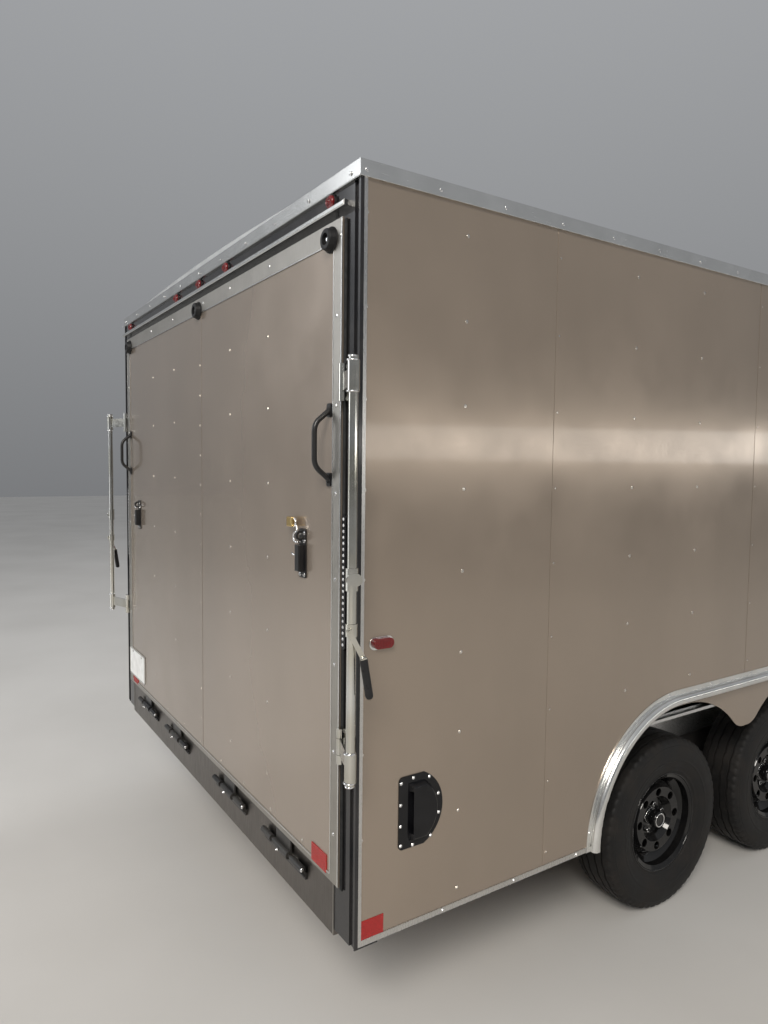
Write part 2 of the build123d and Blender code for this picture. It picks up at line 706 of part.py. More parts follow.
def jack_leg():
    bore = JACK_TUBE_RADIUS - JACK_TUBE_WALL
    leg_top = JACK_TUBE_HIGH - JACK_TUBE_CAP - JACK_TRAVEL - JACK_END_GAP
    leg = rod_z(bore - RUNNING_CLEARANCE, JACK_FOOT_THICKNESS, leg_top, 0, JACK_Y)
    half = JACK_FOOT_SIZE / 2
    foot = block(-half, half, JACK_Y - half, JACK_Y + half, 0, JACK_FOOT_THICKNESS)
    return leg + chamfer(foot.edges().filter_by(Axis.Z), JACK_FOOT_SIZE / 6)


# Running gear
def axle(y):
    """Drop axle: tube, cranked ends, spindles, brake plates and the clamps that hold the springs down."""
    tube_z = WHEEL_RADIUS - AXLE_DROP
    spring_top = SPRING_SEAT_Z + LEAF_COUNT * LEAF_THICKNESS + CLAMP_GAP
    parts = [rod_x(AXLE_TUBE_RADIUS, -AXLE_BEND_X, AXLE_BEND_X, y, tube_z)]
    for side in (-1, 1):
        plate_inner = side * (DRUM_BACK_X - AXLE_PLATE_GAP - AXLE_PLATE)
        plate_outer = side * (DRUM_BACK_X - AXLE_PLATE_GAP)
        spindle_end = side * (DISC_X + SPINDLE_END)
        crank = Plane.XZ * make_face(Polyline(
            (side * AXLE_BEND_X, tube_z - AXLE_TUBE_RADIUS),
            (side * (AXLE_BEND_X + AXLE_TUBE_RADIUS), tube_z - AXLE_TUBE_RADIUS),
            (plate_inner, WHEEL_RADIUS - AXLE_TUBE_RADIUS), (plate_inner, WHEEL_RADIUS + AXLE_TUBE_RADIUS),
            (side * (AXLE_BEND_X + AXLE_TUBE_RADIUS), WHEEL_RADIUS + AXLE_TUBE_RADIUS),
            (side * AXLE_BEND_X, tube_z + AXLE_TUBE_RADIUS), close=True,
        ))
        crank = extrude(crank, AXLE_TUBE_RADIUS, both=True)
        parts.append(Pos(0, y, 0) * crank)
        parts.append(rod_x(
            DRUM_RADIUS - AXLE_PLATE_MARGIN, min(plate_inner, plate_outer), max(plate_inner, plate_outer),
            y, WHEEL_RADIUS,
        ))
        parts.append(rod_x(
            SPINDLE_RADIUS, min(plate_inner, spindle_end), max(plate_inner, spindle_end), y, WHEEL_RADIUS,
        ))
        x = side * SPRING_X
        for length, z0, z1 in (
            (AXLE_PAD_LENGTH, SPRING_SEAT_Z - 2 * AXLE_PAD, SPRING_SEAT_Z),
            (CLAMP_PLATE_LENGTH, spring_top, spring_top + CLAMP_PLATE),
        ):
            parts.append(block(
                x - AXLE_PAD_WIDTH / 2, x + AXLE_PAD_WIDTH / 2, y - length / 2, y + length / 2, z0, z1,
            ))
        bolt_x = (LEAF_WIDTH + 2 * U_BOLT_RADIUS) / 2 + TRIM_GAP
        for across in (-bolt_x, bolt_x):
            for along in (-U_BOLT_OFFSET, U_BOLT_OFFSET):
                parts.append(rod_z(
                    U_BOLT_RADIUS, SPRING_SEAT_Z - 2 * AXLE_PAD, spring_top + 2 * CLAMP_PLATE,
                    x + across, y + along,
                ))
    return joined(parts)


def leaf_spring(y):
    """Stack of curved leaves with rolled eyes; every shorter leaf lies under the one before it."""
    stack = LEAF_COUNT * LEAF_THICKNESS
    radius = (SPRING_HALF**2 + SPRING_CAMBER**2) / (2 * SPRING_CAMBER)
    centre_z = SPRING_SEAT_Z + stack + radius
    half_width = LEAF_WIDTH / 2
    leaves = []
    for i in range(LEAF_COUNT):
        outer = radius + stack - i * LEAF_THICKNESS
        half = SPRING_HALF * (1 - LEAF_STEP * (LEAF_COUNT - 1 - i))
        ring = rod_x(outer, -half_width, half_width, y, centre_z)
        ring = ring - rod_x(outer - LEAF_THICKNESS, -LEAF_WIDTH, LEAF_WIDTH, y, centre_z)
        leaves.append(ring & block(-LEAF_WIDTH, LEAF_WIDTH, y - half, y + half, 0, RAIL_BOTTOM))
    whole = joined(leaves)
    for eye_y in (y - SPRING_HALF, y + SPRING_HALF):
        whole = whole + rod_x(EYE_RADIUS, -half_width, half_width, eye_y, EYE_Z)
        whole = whole - rod_x(EYE_BOLT_RADIUS + RUNNING_CLEARANCE, -LEAF_WIDTH, LEAF_WIDTH, eye_y, EYE_Z)
    return Pos(SPRING_X, 0, 0) * whole


def hanger(y, inner):
    """Pair of plates under the rail, their inner faces `inner` from the middle, with the eye bolt."""
    outer = inner + HANGER_PLATE
    low = EYE_Z - HANGER_DROP
    edges = Polyline(
        (y - HANGER_HALF_LENGTH, RAIL_BOTTOM), (y + HANGER_HALF_LENGTH, RAIL_BOTTOM),
        (y + HANGER_DROP, low), (y - HANGER_DROP, low), close=True,
    )
    cheeks = side_plate(edges, -outer, outer) - side_plate(edges, -inner, inner)
    return Pos(SPRING_X, 0, 0) * (cheeks + rod_x(EYE_BOLT_RADIUS, -outer, outer, y, EYE_Z))


def spring_hangers():
    pieces = []
    for y in (WHEEL_Y["rear"] - SPRING_HALF, WHEEL_Y["front"] + SPRING_HALF):
        pieces += both_sides(hanger(y, HANGER_INNER))
    return pieces + both_sides(hanger(TANDEM_Y, HANGER_INNER + HANGER_PLATE))


def equalizer():
    """Two rocking plates between the springs, bolted to both inner eyes and borne at their middle."""
    rear_eye = WHEEL_Y["rear"] + SPRING_HALF
    front_eye = WHEEL_Y["front"] - SPRING_HALF
    outer = HANGER_INNER + HANGER_PLATE
    low, high, peak = EYE_Z - EQUALIZER_END, EYE_Z + EQUALIZER_EDGE, EYE_Z + EQUALIZER_PEAK
    edges = Polyline(
        (rear_eye - EQUALIZER_END, low), (front_eye + EQUALIZER_END, low), (front_eye + EQUALIZER_END, high),
        (TANDEM_Y + HANGER_DROP, peak), (TANDEM_Y - HANGER_DROP, peak),
        (rear_eye - EQUALIZER_END, high), close=True,
    )
    whole = side_plate(edges, -outer, outer)
    for y0, y1 in (
        (rear_eye - EQUALIZER_SLOT_END, TANDEM_Y - EQUALIZER_PEAK),
        (TANDEM_Y + EQUALIZER_PEAK, front_eye + EQUALIZER_SLOT_END),
    ):
        whole = whole - block(-HANGER_INNER, HANGER_INNER, y0, y1, 0, RAIL_BOTTOM)
    for y in (rear_eye, front_eye):
        whole = whole + rod_x(EYE_BOLT_RADIUS, -outer, outer, y, EYE_Z)
    whole = whole - rod_x(EYE_BOLT_RADIUS + RUNNING_CLEARANCE, -outer - 1, outer + 1, TANDEM_Y, EYE_Z)
    return Pos(SPRING_X, 0, 0) * whole


# Wheels
def on_wheel(shape, side, y):
    """Turns a shape revolved about Y so that its outer face looks out at one wheel's place."""
    return Pos(side * TYRE_CENTRE_X, y, WHEEL_RADIUS) * Rot(0, 0, -90 * side) * shape


def tyre(side, y):
    """Revolved section: tread band, rounded shoulders, bulged sidewalls and beads on the rim."""
    half = TYRE_WIDTH / 2
    tread = TREAD_WIDTH / 2
    bead = RIM_WIDTH / 2 - BEAD_INSET
    bead_top = bead + BEAD_INSET + 2
    bead_radius = RIM_FLANGE_RADIUS + BEAD_LIFT
    bulge = (WHEEL_RADIUS + RIM_SEAT_RADIUS) / 2 + BULGE_OFFSET
    shoulder = WHEEL_RADIUS - SHOULDER_DROP
    edge = WHEEL_RADIUS - TREAD_CROWN
    edges = (
        Line((RIM_SEAT_RADIUS, -bead), (RIM_SEAT_RADIUS, bead))
        + Line((RIM_SEAT_RADIUS, bead), (bead_radius, bead_top))
        + ThreePointArc((bead_radius, bead_top), (bulge, half), (shoulder, tread + SHOULDER_REACH))
        + Line((shoulder, tread + SHOULDER_REACH), (edge, tread))
        + ThreePointArc((edge, tread), (WHEEL_RADIUS, 0), (edge, -tread))
        + Line((edge, -tread), (shoulder, -tread - SHOULDER_REACH))
        + ThreePointArc((shoulder, -tread - SHOULDER_REACH), (bulge, -half), (bead_radius, -bead_top))
        + Line((bead_radius, -bead_top), (RIM_SEAT_RADIUS, -bead))
    )
    return on_wheel(revolve(make_face(edges), Axis.Y), side, y)


def rim(side, y):
    """Pressed steel rim: barrel with a drop centre, lipped flanges and a dished disc with round holes."""
    half = RIM_WIDTH / 2
    lip = RIM_FLANGE_WIDTH
    ledge = RIM_LEDGE
    seat = RIM_SEAT_RADIUS - RIM_SEAT_GAP
    well = seat - RIM_WELL_DEPTH
    t = RIM_SHEET
    disc = DISC_X - TYRE_CENTRE_X
    well_back = ledge + RIM_WELL_SLOPE
    barrel = Polyline(
        (RIM_FLANGE_RADIUS, -half), (seat, lip - half), (seat, ledge - half), (well, well_back - half),
        (well, half - RIM_WELL_FRONT), (seat, half - ledge), (seat, half - lip), (RIM_FLANGE_RADIUS, half),
        (RIM_FLANGE_RADIUS - t, half + t), (seat - t, half - lip + t), (seat - t, half - ledge),
        (well - t, half - RIM_WELL_FRONT + 2), (well - t, well_back - 2 - half), (seat - t, ledge - half),
        (seat - t, lip - t - half), (RIM_FLANGE_RADIUS - t, -half - t), close=True,
    )
    hole = SPINDLE_RADIUS + HUB_WALL + HUB_HOLE_GAP
    lean = t / 2
    dish = Polyline(
        (hole, disc), (DISC_CENTRE_RADIUS, disc), (DISC_RIDGE_RADIUS, disc + DISC_RIDGE_RISE),
        (DISC_SHOULDER_RADIUS, disc + DISC_SHOULDER_RISE), (well - t, disc - DISC_EDGE_DROP),
        (well - t, disc - DISC_EDGE_DROP - 2 * t),
        (DISC_SHOULDER_RADIUS - lean, disc + DISC_SHOULDER_RISE - t),
        (DISC_RIDGE_RADIUS + lean, disc + DISC_RIDGE_RISE - t), (DISC_CENTRE_RADIUS + lean, disc - t),
        (hole, disc - t), close=True,
    )
    dish = revolve(make_face(dish), Axis.Y)
    for i in range(DISC_HOLE_COUNT):
        hand_hole = rod_y(DISC_HOLE_RADIUS, disc, disc + 2 * ledge, DISC_HOLE_CIRCLE, 0)
        dish = dish - Rot(0, 360 / DISC_HOLE_COUNT * i, 0) * hand_hole
    for i in range(STUD_COUNT):
        stud_hole = rod_y(STUD_RADIUS, disc - ledge, disc + ledge, 0, STUD_CIRCLE)
        dish = dish - Rot(0, 360 / STUD_COUNT * i, 0) * stud_hole
    return on_wheel(revolve(make_face(barrel), Axis.Y) + dish, side, y)


def hub(side, y):
    """Brake drum with its hub, dust cap and studs with nuts, bored to run on the spindle."""
    face = DISC_X - RIM_SHEET
    barrel_radius = SPINDLE_RADIUS + HUB_WALL
    cap_end = DISC_X + HUB_CAP_REACH
    barrel = rod_x(barrel_radius, DRUM_BACK_X, cap_end, 0, 0)
    barrel = fillet(barrel.edges().group_by(Axis.X)[-1], HUB_WALL / 2)
    whole = joined([
        rod_x(DRUM_RADIUS, DRUM_BACK_X, DRUM_FRONT_X, 0, 0),
        rod_x(HUB_FLANGE_RADIUS, DRUM_FRONT_X, face, 0, 0),
        barrel,
    ])
    for i in range(STUD_COUNT):
        angle = 2 * pi * i / STUD_COUNT + pi / 2
        stud_y, stud_z = STUD_CIRCLE * cos(angle), STUD_CIRCLE * sin(angle)
        whole = whole + rod_x(STUD_RADIUS, DISC_X, DISC_X + STUD_LENGTH, stud_y, stud_z)
        whole = whole + rod_x(STUD_SHANK, face, DISC_X, stud_y, stud_z)
    bore = rod_x(SPINDLE_RADIUS + RUNNING_CLEARANCE, DRUM_BACK_X - 1, cap_end - HUB_CAP_END, 0, 0)
    hollow = rod_x(DRUM_RADIUS - DRUM_WALL, DRUM_BACK_X - 1, DRUM_FRONT_X - DRUM_WALL, 0, 0)
    hollow = hollow - rod_x(barrel_radius, DRUM_BACK_X - 2, DRUM_FRONT_X, 0, 0)
    whole = whole - bore - hollow
    if side < 0:
        whole = mirror(whole, Plane.YZ)
    return Pos(0, y, WHEEL_RADIUS) * whole


# Body shell
def floor_deck():
    deck = body_plan(WALL, POST_DEPTH, DECK_BOTTOM, FLOOR_TOP)
    for cut in both_sides(block(WELL_INNER_X, HALF, WELL_REAR, WELL_FRONT, 0, WALL_TOP)):
        deck = deck - cut
    return deck


def arch_opening(inset, x0, x1):
    """The wheel arch's hole through the wall, drawn in by `inset`."""
    radius = ARCH_OUTER - ARCH_BAND / 2 - inset
    return side_plate(arch_edges(radius, SKIRT_BOTTOM - WALL), x0, x1)


def side_wall():
    """Whole side with the arch cut out; its skin laps the rear post."""
    wall = block(HALF - WALL, HALF, POST_DEPTH, BOX_LENGTH, SKIRT_BOTTOM, WALL_TOP)
    lap = block(HALF - SKIN_LAP, HALF, 0, POST_DEPTH, SKIRT_BOTTOM, WALL_TOP)
    return wall + lap - arch_opening(0, HALF - 2 * WALL, HALF + WALL)


def door_opening():
    return block(HALF - 2 * WALL, HALF + WALL, DOOR_REAR, DOOR_FRONT, DOOR_LOW, DOOR_HIGH)


def nose_walls():
    ring = body_plan(0, 0, SKIRT_BOTTOM, WALL_TOP) - body_plan(WALL, 0, SKIRT_BOTTOM - 1, WALL_TOP + 1)
    right = ring & block(0, HALF + 1, BOX_LENGTH, NOSE_TIP_Y + 1, SKIRT_BOTTOM, WALL_TOP)
    right = right - tongue_beams(clearance=2 * TRIM_GAP)
    return right, mirror(right, Plane.YZ)


def roof():
    """Roof skin and bows as one crowned sheet over the whole plan."""
    low, rise = WALL_TOP, ROOF_CROWN
    high = low + ROOF_THICKNESS
    section = (
        Line((-HALF, low), (-HALF, high))
        + ThreePointArc((-HALF, high), (0, high + rise), (HALF, high))
        + Line((HALF, high), (HALF, low))
        + ThreePointArc((HALF, low), (0, low + rise), (-HALF, low))
    )
    sheet = extrude(Plane.XZ * make_face(section), -NOSE_TIP_Y)
    return sheet & body_plan(0, 0, low - 1, high + 2 * rise)


def roof_trim():
    high = WALL_TOP + ROOF_TRIM_HEIGHT
    outer = body_plan(-ROOF_TRIM_PROUD, -ROOF_TRIM_PROUD, WALL_TOP, high)
    return outer - body_plan(0, 0, WALL_TOP - 1, high + 1)


def stone_guard():
    high = SKIRT_BOTTOM + STONE_GUARD_HEIGHT
    ring = body_plan(-TRIM_SHEET, 0, SKIRT_BOTTOM, high) - body_plan(0, 0, SKIRT_BOTTOM - 1, high + 1)
    rear = BOX_LENGTH + POST_FOLD_FACE
    front = block(-BODY_WIDTH, BODY_WIDTH, rear, NOSE_TIP_Y + WALL, SKIRT_BOTTOM, high)
    return (ring & front) - tongue_beams(clearance=2 * TRIM_GAP)


def edge_trims():
    outer = HALF + TRIM_SHEET
    rail_top = SKIRT_BOTTOM + BOTTOM_RAIL_HEIGHT
    shoulder_rear = BOX_LENGTH - SHOULDER_TRIM_WIDTH
    corner_front = POST_FOLD_BACK + CORNER_TRIM_WIDTH
    corner = block(HALF, outer, POST_FOLD_BACK, corner_front, SKIRT_BOTTOM, WALL_TOP)
    rear_end, front_end = ARCH_REAR_CENTRE - ARCH_OUTER - TRIM_GAP, ARCH_FRONT_CENTRE + ARCH_OUTER + TRIM_GAP
    rear_rail = block(HALF, outer, corner_front, rear_end, SKIRT_BOTTOM, rail_top)
    front_rail = block(HALF, outer, front_end, shoulder_rear - TRIM_GAP, SKIRT_BOTTOM, rail_top)
    shoulder = block(HALF, outer, shoulder_rear, BOX_LENGTH + TRIM_GAP, SKIRT_BOTTOM, WALL_TOP)
    return [piece for trim in (corner, rear_rail, front_rail, shoulder) for piece in both_sides(trim)]


def wheel_well():
    """Sheet box over a pair of wheels; its top runs out through the arch to a turned-down lip."""
    inside = HALF - WALL
    outer = block(WELL_INNER_X, inside, WELL_REAR, WELL_FRONT, DECK_BOTTOM, WELL_TOP)
    hollow = block(
        WELL_INNER_X + WELL_SHEET, HALF, WELL_REAR + WELL_SHEET, WELL_FRONT - WELL_SHEET,
        DECK_BOTTOM - 1, WELL_TOP - WELL_SHEET,
    )
    lip_x = HALF - WELL_LIP_INSET
    top = block(inside, lip_x, WELL_REAR, WELL_FRONT, WELL_TOP - WELL_SHEET, WELL_TOP)
    lip = block(lip_x - WELL_SHEET, lip_x, WELL_REAR, WELL_FRONT, WELL_TOP - WELL_LIP, WELL_TOP)
    through = (top + lip) & arch_opening(TRIM_GAP, inside - 1, HALF)
    liner_top = SKIRT_BOTTOM + ARCH_OUTER - ARCH_BAND / 2 + WELL_LINER_HEAD
    liner = block(inside - WELL_SHEET, inside, WELL_REAR, WELL_FRONT, WELL_TOP - WELL_SHEET, liner_top)
    return joined([outer - hollow, through, liner])


def arch_trim():
    """Rolled arch trim: a flat screwed flange outside a rounded flare."""
    low = SKIRT_BOTTOM - ARCH_TAIL
    inner_radius = ARCH_OUTER - ARCH_BAND
    flare_radius = ARCH_OUTER - ARCH_FLANGE
    proud = HALF + ARCH_PROUD
    flare = side_plate(arch_edges(flare_radius, low), HALF, proud)
    flare = flare - side_plate(arch_edges(inner_radius, low - 1), HALF - 1, proud + 1)
    face_edges = flare.edges().filter_by_position(Axis.X, proud - 0.1, proud + 0.1)
    face_edges = face_edges.filter_by_position(Axis.Z, low + 1, WALL_TOP)
    by_height = face_edges.sort_by(Axis.Z)
    outer_top, inner_top = by_height[-1], by_height[-2]
    outer_chain = chain_of(face_edges, outer_top)
    inner_chain = chain_of(face_edges, inner_top)
    flare = fillet(outer_chain, ARCH_ROUND_OUTER)
    inner_chain = [edge for edge in flare.edges() if any(same_place(edge, old) for old in inner_chain)]
    flare = fillet(inner_chain, ARCH_ROUND_INNER)
    flange = side_plate(arch_edges(ARCH_OUTER, low), HALF, HALF + ARCH_FLANGE_SHEET)
    flange = flange - side_plate(arch_edges(inner_radius, low - 1), HALF - 1, proud)
    return flare + flange


def same_place(edge, other):
    return (edge.center() - other.center()).length < 0.1


def chain_of(edges, first):
    """The edges that run on from `first`, end to end."""
    chain = [first]
    grew = True
    while grew:
        grew = False
        for edge in edges:
            near = any(edge.distance_to(member) < 0.01 for member in chain)
            if near and not any(same_place(edge, member) for member in chain):
                chain.append(edge)
                grew = True
    return chain


def arch_skirt():
    """Body-coloured sheet that closes the arch down to the tyres, with a rounded drop between the wheels."""
    radius = ARCH_OUTER - ARCH_BAND / 2
    x1 = HALF - SKIRT_INSET
    x0 = x1 - SKIRT_SHEET
    sheet = side_plate(arch_edges(radius, SKIRT_BOTTOM - ARCH_TAIL), x0, x1)
    low = SKIRT_BOTTOM - SKIRT_WHEEL_DROP
    for y, spread in ((WHEEL_Y["rear"], -SKIRT_WHEEL_SPREAD), (WHEEL_Y["front"], SKIRT_WHEEL_SPREAD)):
        sheet = sheet - strap((y, low), (y + spread, low), 2 * SKIRT_WHEEL_RADIUS, x0 - 1, x1 + 1)
    sheet = sheet - block(x0 - 1, x1 + 1, 0, BOX_LENGTH, 0, SKIRT_POINT_Z)
    sheet = max(sheet.solids(), key=lambda solid: solid.volume)
    corners = sheet.edges().filter_by(Axis.X).filter_by_position(Axis.Z, SKIRT_POINT_Z - 1, SKIRT_POINT_Z + 1)
    return fillet(corners, SKIRT_POINT_ROUND)


# Rear frame
def rear_posts():
    """Posts whose sheet folds round the rear end of the side skins."""
    post = block(POST_INNER, HALF - SKIN_LAP, 0, POST_DEPTH, POST_BOTTOM, WALL_TOP)
    groove_x = HALF - POST_FOLD_FACE - POST_GROOVE_WIDTH
    groove = block(
        groove_x, groove_x + POST_GROOVE_WIDTH, -1, POST_GROOVE_DEPTH, POST_BOTTOM - 1, WALL_TOP + 1,
    )
    outer = HALF + TRIM_SHEET
    fold = block(HALF - POST_FOLD_FACE, outer, -TRIM_SHEET, 0, SKIRT_BOTTOM, WALL_TOP)
    side = block(HALF, outer, 0, POST_FOLD_BACK, SKIRT_BOTTOM, WALL_TOP)
    return both_sides(joined([post - groove, fold, side]))


def rear_header():
    return block(-POST_INNER, POST_INNER, 0, POST_DEPTH, HEADER_BOTTOM, WALL_TOP)


def drip_rail():
    half = HALF - DRIP_RAIL_INSET
    low = WALL_TOP - DRIP_RAIL_DROP
    rail = block(-half, half, -DRIP_RAIL_REACH, 0, low, low + DRIP_RAIL_HEIGHT)
    return chamfer(rail.edges().group_by(Axis.Y)[0], DRIP_RAIL_HEIGHT / 5)


def rear_sill():
    return block(-POST_INNER, POST_INNER, 0, POST_DEPTH, SILL_BOTTOM, FLOOR_TOP)


# Ramp door
def ramp_panel():
    core_half = POST_INNER - RAMP_CORE_GAP
    skin = block(-RAMP_HALF_WIDTH, RAMP_HALF_WIDTH, -RAMP_SKIN_FACE, -RAMP_SKIN_BACK, RAMP_BOTTOM, RAMP_TOP)
    core = block(
        -core_half, core_half, -RAMP_SKIN_BACK, RAMP_CORE_DEPTH, RAMP_BOTTOM, HEADER_BOTTOM - RAMP_CORE_GAP,
    )
    return skin + core


def ramp_edge_band():
    half = RAMP_HALF_WIDTH
    outer = block(-half, half, -RAMP_BAND_FACE, -RAMP_SKIN_FACE, RAMP_BOTTOM, RAMP_TOP)
    window = block(
        BAND_SIDE - half, half - BAND_SIDE, -RAMP_BAND_FACE - 1, 0,
        RAMP_BOTTOM + BAND_BOTTOM, RAMP_TOP - BAND_TOP,
    )
    return outer - window


def sill_hinge(x):
    """Leaf on the sill with its two outer knuckles and the pin."""
    half = HINGE_WIDTH / 2
    middle = HINGE_MIDDLE / 2
    leaf_top = HINGE_Z - HINGE_LEAF_TOP_DROP
    leaf = block(x - half, x + half, -HINGE_LEAF, 0, leaf_top - HINGE_LEAF_HEIGHT, leaf_top)
    whole = leaf + rod_x(HINGE_PIN_RADIUS, x - half, x + half, HINGE_Y, HINGE_Z)
    web_edges = Polyline(
        (-HINGE_LEAF, HINGE_Z - HINGE_WEB_DROP), (-HINGE_LEAF, HINGE_Z + HINGE_KNUCKLE_RADIUS / 2),
        (HINGE_Y, HINGE_Z + HINGE_KNUCKLE_RADIUS / 2), (HINGE_Y - HINGE_KNUCKLE_RADIUS, HINGE_Z), close=True,
    )
    for x0, x1 in ((x - half, x - middle), (x + middle, x + half)):
        knuckle = rod_x(HINGE_KNUCKLE_RADIUS, x0, x1, HINGE_Y, HINGE_Z)
        whole = whole + knuckle + side_plate(web_edges, x0, x1)
    return whole


def ramp_hinge(x):
    """Middle knuckle, bored for the pin, on a leaf that rises to the ramp's lower edge."""
    half = HINGE_STRAP_WIDTH / 2
    knuckle = rod_x(HINGE_EYE_RADIUS, x - half, x + half, HINGE_Y, HINGE_Z)
    leaf = block(x - half, x + half, -RAMP_BAND_FACE, -RAMP_SKIN_BACK, HINGE_Z, RAMP_BOTTOM)
    bore = rod_x(HINGE_PIN_RADIUS + RUNNING_CLEARANCE, x - half - 1, x + half + 1, HINGE_Y, HINGE_Z)
    return knuckle + leaf - bore


def bumper(x):
    """Rubber bumper, narrower at its rounded tip and hollow down to its base."""
    tip = -RAMP_BAND_FACE - BUMPER_REACH
    middle = Pos(x, (tip - RAMP_BAND_FACE) / 2, BUMPER_Z)
    body = middle * Rot(90, 0, 0) * Cone(BUMPER_RADIUS, BUMPER_TIP_RADIUS, BUMPER_REACH)
    body = fillet(body.edges().group_by(Axis.Y)[0], BUMPER_ROUND)
    return body - rod_y(BUMPER_BORE, tip - 1, -RAMP_BAND_FACE - BUMPER_BASE, x, BUMPER_Z)


def grab_handle():
    """Bent rod between two flat pads that lie on the skin."""
    face = -RAMP_SKIN_FACE
    seat = face - HANDLE_PAD / 2
    out = face - HANDLE_REACH + HANDLE_ROD
    low, high = HANDLE_LOW + HANDLE_PAD_LENGTH / 2, HANDLE_HIGH - HANDLE_PAD_LENGTH / 2
    rod = bent_rod(
        HANDLE_ROD, HANDLE_BEND,
        [(HANDLE_X, seat, low), (HANDLE_X, out, low + HANDLE_SLOPE), (HANDLE_X, out, high - HANDLE_SLOPE),
         (HANDLE_X, seat, high)],
    )
    rod = rod & block(0, HALF, out - HANDLE_REACH, face, HANDLE_LOW, HANDLE_HIGH)
    pads = []
    for z in (low, high):
        pad = block(
            HANDLE_X - HANDLE_PAD_WIDTH / 2, HANDLE_X + HANDLE_PAD_WIDTH / 2, face - HANDLE_PAD, face,
            z - HANDLE_PAD_LENGTH / 2, z + HANDLE_PAD_LENGTH / 2,
        )
        pads.append(fillet(pad.edges().filter_by(Axis.Y), HANDLE_PAD))
    return joined([rod] + pads)


def hasp():
    """Lock plate with a raised body and a standing staple at its top."""
    face = -RAMP_SKIN_FACE
    front = face - HASP_PLATE
    half = HASP_WIDTH / 2
    plate = block(HASP_X - half, HASP_X + half, front, face, HASP_LOW, HASP_HIGH)
    plate = fillet(plate.edges().filter_by(Axis.Y), HASP_PLATE)
    body = block(
        HASP_X - HASP_BODY_WIDTH / 2, HASP_X + HASP_BODY_WIDTH / 2, front - HASP_BODY_DEPTH, front,
        HASP_LOW + HASP_BODY_MARGIN_LOW, HASP_HIGH - HASP_BODY_MARGIN_HIGH,
    )
    body = fillet(body.edges().group_by(Axis.Y)[0], HASP_PLATE)
    staple_z = HASP_HIGH - STAPLE_DROP
    staple_y = front - STAPLE_OFFSET
    x0, x1 = HASP_X - STAPLE_SHEET / 2, HASP_X + STAPLE_SHEET / 2
    staple = rod_x(STAPLE_RADIUS, x0, x1, staple_y, staple_z)
    staple = staple - rod_x(STAPLE_BORE, x0 - 1, x1 + 1, staple_y, staple_z)
    staple = staple & block(x0, x1, front - 2 * STAPLE_RADIUS, front, HASP_LOW, HASP_HIGH)
    return joined([plate, body, staple])


# Bar locks, drawn with the arm along +X from the pivot, then swung to their parked angle
def swing_to_rest(shape):
    return Pos(LOCK_PIVOT_X, LOCK_PIVOT_Y, 0) * Rot(0, 0, LOCK_REST_ANGLE - 90) * shape


def lock_lever():
    """Lever that hangs from a collar on the bar, bent outward, with a rounded grip."""
    face = LOCK_ARM + LOCK_BAR_RADIUS + LEVER_GAP
    half_collar = LEVER_COLLAR_HEIGHT / 2
    collar = rod_z(LEVER_COLLAR_RADIUS, LEVER_Z - half_collar, LEVER_Z + half_collar, LOCK_ARM, 0)
    pivot = (-LEVER_SIDE, LEVER_Z)
    elbow = (LEVER_SWING - LEVER_SIDE, LEVER_Z - LEVER_DROP)
    tip = (elbow[0] + GRIP_SWING, elbow[1] - GRIP_DROP)
    bolt = rod_x(LEVER_BOLT, LOCK_ARM, face + LEVER_SHEET + LEVER_BOLT, *pivot)
    grip_face = face - (GRIP_THICKNESS - LEVER_SHEET) / 2
    grip = strap(elbow, tip, GRIP_WIDTH, grip_face, grip_face + GRIP_THICKNESS)
    grip = fillet(grip.edges().filter_by(Plane.YZ), GRIP_THICKNESS / 3)
    return joined([collar, bolt, strap(pivot, elbow, LEVER_WIDTH, face, face + LEVER_SHEET), grip])


def bar_lock():
    pieces = [rod_z(LOCK_BAR_RADIUS, LOCK_BAR_LOW, LOCK_BAR_HIGH, LOCK_ARM, 0)]
    half_arm = LOCK_ARM_HEIGHT / 2
    half_sleeve = LOCK_SLEEVE_HEIGHT / 2
    for z in LOCK_PIVOT_Z:
        pieces.append(rod_z(LOCK_SLEEVE_RADIUS, z - half_sleeve, z + half_sleeve, LOCK_ARM, 0))
        pieces.append(block(
            0, LOCK_ARM, -LOCK_ARM_THICKNESS / 2, LOCK_ARM_THICKNESS / 2, z - half_arm, z + half_arm,
        ))
        pieces.append(rod_z(LOCK_KNUCKLE_RADIUS, z - half_arm, z + half_arm, 0, 0))
    half_keeper = LOCK_KEEPER_HEIGHT / 2
    keeper_face = LOCK_ARM + LOCK_BAR_RADIUS
    pieces.append(rod_z(
        LOCK_KEEPER_RADIUS, LOCK_KEEPER_Z - half_keeper, LOCK_KEEPER_Z + half_keeper, LOCK_ARM, 0,
    ))
    pieces.append(strap(
        (0, LOCK_KEEPER_Z), (LOCK_KEEPER_OFFSET, LOCK_KEEPER_Z), LOCK_KEEPER_WIDTH,
        keeper_face, keeper_face + LOCK_KEEPER_SHEET,
    ))
    whole = joined(pieces + [lock_lever()])
    for z in LOCK_PIVOT_Z:
        whole = whole - rod_z(LOCK_PIN_RADIUS + RUNNING_CLEARANCE, z - half_arm - 1, z + half_arm + 1, 0, 0)
    return whole


